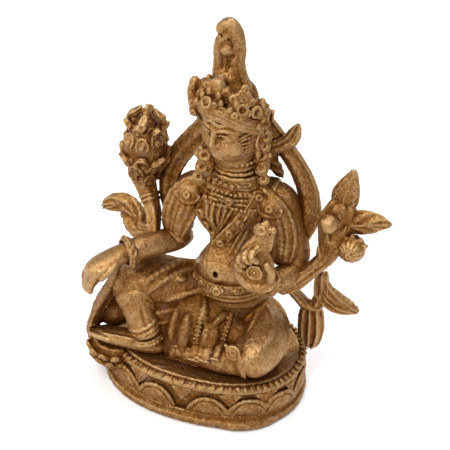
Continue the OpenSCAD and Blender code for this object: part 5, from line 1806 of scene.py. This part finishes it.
def openness_grid():
    """Coarse block that says how much metal lies round each place."""
    lo = np.min([p["clay"].lo for p in PIECES], 0) - 6
    hi = np.max([p["clay"].lo + p["clay"].h * p["clay"].n for p in PIECES], 0) + 6
    n = np.ceil((hi - lo) / COARSE).astype(int) + 1
    solid = np.zeros(n, np.float32)
    for p in PIECES:
        c = p["clay"]
        axes = [np.arange(ceil((c.lo[i] - lo[i]) / COARSE),
                          floor((c.lo[i] + c.h * (c.n[i] - 1) - lo[i]) / COARSE) + 1) for i in range(3)]
        near = [np.clip(np.round((lo[i] + axes[i] * COARSE - c.lo[i]) / c.h).astype(int), 0, c.n[i] - 1)
                for i in range(3)]
        block = np.ix_(*axes)
        fill = np.clip(0.5 - c.d[np.ix_(*near)] / COARSE, 0, 1)
        solid[block] = np.maximum(solid[block], fill)
    # Space under the floor counts as part solid, so places near the floor are darkened as painted shade.
    solid[:, :, : max(int(-lo[2] / COARSE), 0)] = FLOOR_SHADE
    return solid, lo


def blurred(block, passes, reach):
    out = block
    for _ in range(passes):
        for axis in range(3):
            c = np.cumsum(np.pad(out, [(reach + 1, reach) if i == axis else (0, 0) for i in range(3)],
                                 mode="edge"), axis=axis, dtype=np.float64)
            n = out.shape[axis]
            top = np.take(c, np.arange(2 * reach + 1, 2 * reach + 1 + n), axis=axis)
            low = np.take(c, np.arange(0, n), axis=axis)
            out = ((top - low) / (2 * reach + 1)).astype(np.float32)
    return out


# Millimetres: steps for reading a surface's slope and bend, the bend of a sharp edge, and how far out the
# hollows are read.
NORMAL_STEP, BEND_STEP, SHARP_BEND, NEAR_LIFT, WIDE_LIFT = 0.35, 0.45, 0.12, 0.5, 1.8
# How much lighter than their neighbours some pieces are coloured.
LIGHTEN_BY = {"seat_slab": 0.7, "seat_rim": 0.3, "lower_petals": 0.2}


def finish_pieces():
    solid, lo = openness_grid()
    near, wide = blurred(solid, 2, 1), blurred(solid, 2, 4)
    for p in PIECES:
        clay = p["clay"]
        points, quads = clay.skin()
        grad = np.stack([clay.sample(points + NORMAL_STEP * a) - clay.sample(points - NORMAL_STEP * a)
                         for a in np.eye(3)], 1)
        normal = grad / (np.linalg.norm(grad, axis=1, keepdims=True) + 1e-6)
        bend = sum(clay.sample(points + BEND_STEP * a) + clay.sample(points - BEND_STEP * a)
                   for a in np.eye(3)) / 6
        bend = np.clip(bend / SHARP_BEND, -1, 1)
        # How enclosed each place is, close by and further out. The finish darkens enclosed places with these,
        # as patina together with painted shade.
        hollow_near = read_block(near, (points + normal * NEAR_LIFT - lo) / COARSE)
        hollow_wide = read_block(wide, (points + normal * WIDE_LIFT - lo) / COARSE)
        rough = 0.55 * noise(points, 0.75) + 0.40 * noise(points, 1.6) + 0.65 * noise(points, 0.45)
        bend = np.clip(0.9 * bend + rough * (0.3 + 5 * p["grain"]), -1.5, 1.5) + LIGHTEN_BY.get(p["node"], 0.0)
        points = points + normal * (1.5 * p["grain"] * rough)[:, None]
        mesh = bpy.data.meshes.new(p["name"])
        mesh.vertices.add(len(points))
        mesh.vertices.foreach_set("co", (points * MM).astype(np.float32).ravel())
        mesh.loops.add(quads.size)
        mesh.loops.foreach_set("vertex_index", quads.astype(np.int32).ravel())
        mesh.polygons.add(len(quads))
        mesh.polygons.foreach_set("loop_start", np.arange(0, quads.size, 4, dtype=np.int32))
        mesh.polygons.foreach_set("use_smooth", np.ones(len(quads), bool))
        mesh.update(calc_edges=True)
        mesh.validate()
        for key, values in (("bend", bend), ("near", hollow_near), ("wide", hollow_wide)):
            layer = mesh.attributes.new(key, "FLOAT", "POINT")
            layer.data.foreach_set("value", values.astype(np.float32))
        mesh.materials.append(MATERIALS[p["slot"]])
        obj = bpy.data.objects.new(p["name"], mesh)
        bpy.context.scene.collection.objects.link(obj)
        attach(obj, "root")
        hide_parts(p["node"])


finish_pieces()

# ---------------------------------------------------------------- floor, light and camera
low, high = (Vector(v) for v in cad_box)
ground_mesh = bpy.data.meshes.new("floor")
bm = bmesh.new()
bmesh.ops.create_grid(bm, x_segments=8, y_segments=8, size=3.0)
bm.to_mesh(ground_mesh)
bm.free()
ground = bpy.data.objects.new("floor", ground_mesh)
ground.location = (0, 0, low.z - 0.0002)
bpy.context.scene.collection.objects.link(ground)
paper = bpy.data.materials.new("paper_floor")
paper.use_nodes = True
paper.node_tree.nodes["Principled BSDF"].inputs["Base Color"].default_value = (0.92, 0.92, 0.92, 1)
paper.node_tree.nodes["Principled BSDF"].inputs["Roughness"].default_value = 0.9
ground_mesh.materials.append(paper)

world = bpy.data.worlds.new("studio")
bpy.context.scene.world = world
world.use_nodes = True
world.node_tree.nodes["Background"].inputs["Color"].default_value = (1, 1, 1, 1)
world.node_tree.nodes["Background"].inputs["Strength"].default_value = 0.72


def softbox(name, place, size, watts, tint=(1, 1, 1)):
    data = bpy.data.lights.new(name, "AREA")
    data.shape = "SQUARE"
    data.size, data.energy, data.color = size, watts, tint
    lamp = bpy.data.objects.new(name, data)
    lamp.location = place
    lamp.rotation_euler = (Vector((0, 0, 0.05)) - Vector(place)).to_track_quat("-Z", "Y").to_euler()
    bpy.context.scene.collection.objects.link(lamp)


softbox("key_front", (-0.10, -0.45, 0.62), 0.30, 3.5)
softbox("top_back", (0.10, 0.25, 0.65), 0.30, 2.4)
softbox("fill_left", (-0.60, -0.25, 0.30), 0.35, 1.4)

camera = bpy.data.objects.new("camera", bpy.data.cameras.new("camera"))
bpy.context.scene.collection.objects.link(camera)
bpy.context.scene.camera = camera
camera.data.lens, camera.data.sensor_width = 126.0, 36.0
camera.data.clip_start, camera.data.clip_end = 0.01, 20
camera.data.shift_x = 0.02
az, el, lean, reach = radians(17), radians(34), radians(4), 0.380
aim = Vector((0, 0, 0.046))
back = Vector((sin(az) * cos(el), -cos(az) * cos(el), sin(el)))
side = Vector((cos(az), sin(az), 0))
top = back.cross(side)
right = side * cos(lean) + top * sin(lean)
upward = top * cos(lean) - side * sin(lean)
camera.matrix_world = Matrix([[right[i], upward[i], back[i], (aim + back * reach)[i]] for i in range(3)]
                             + [[0, 0, 0, 1]])
bpy.context.scene.view_settings.view_transform = "Standard"
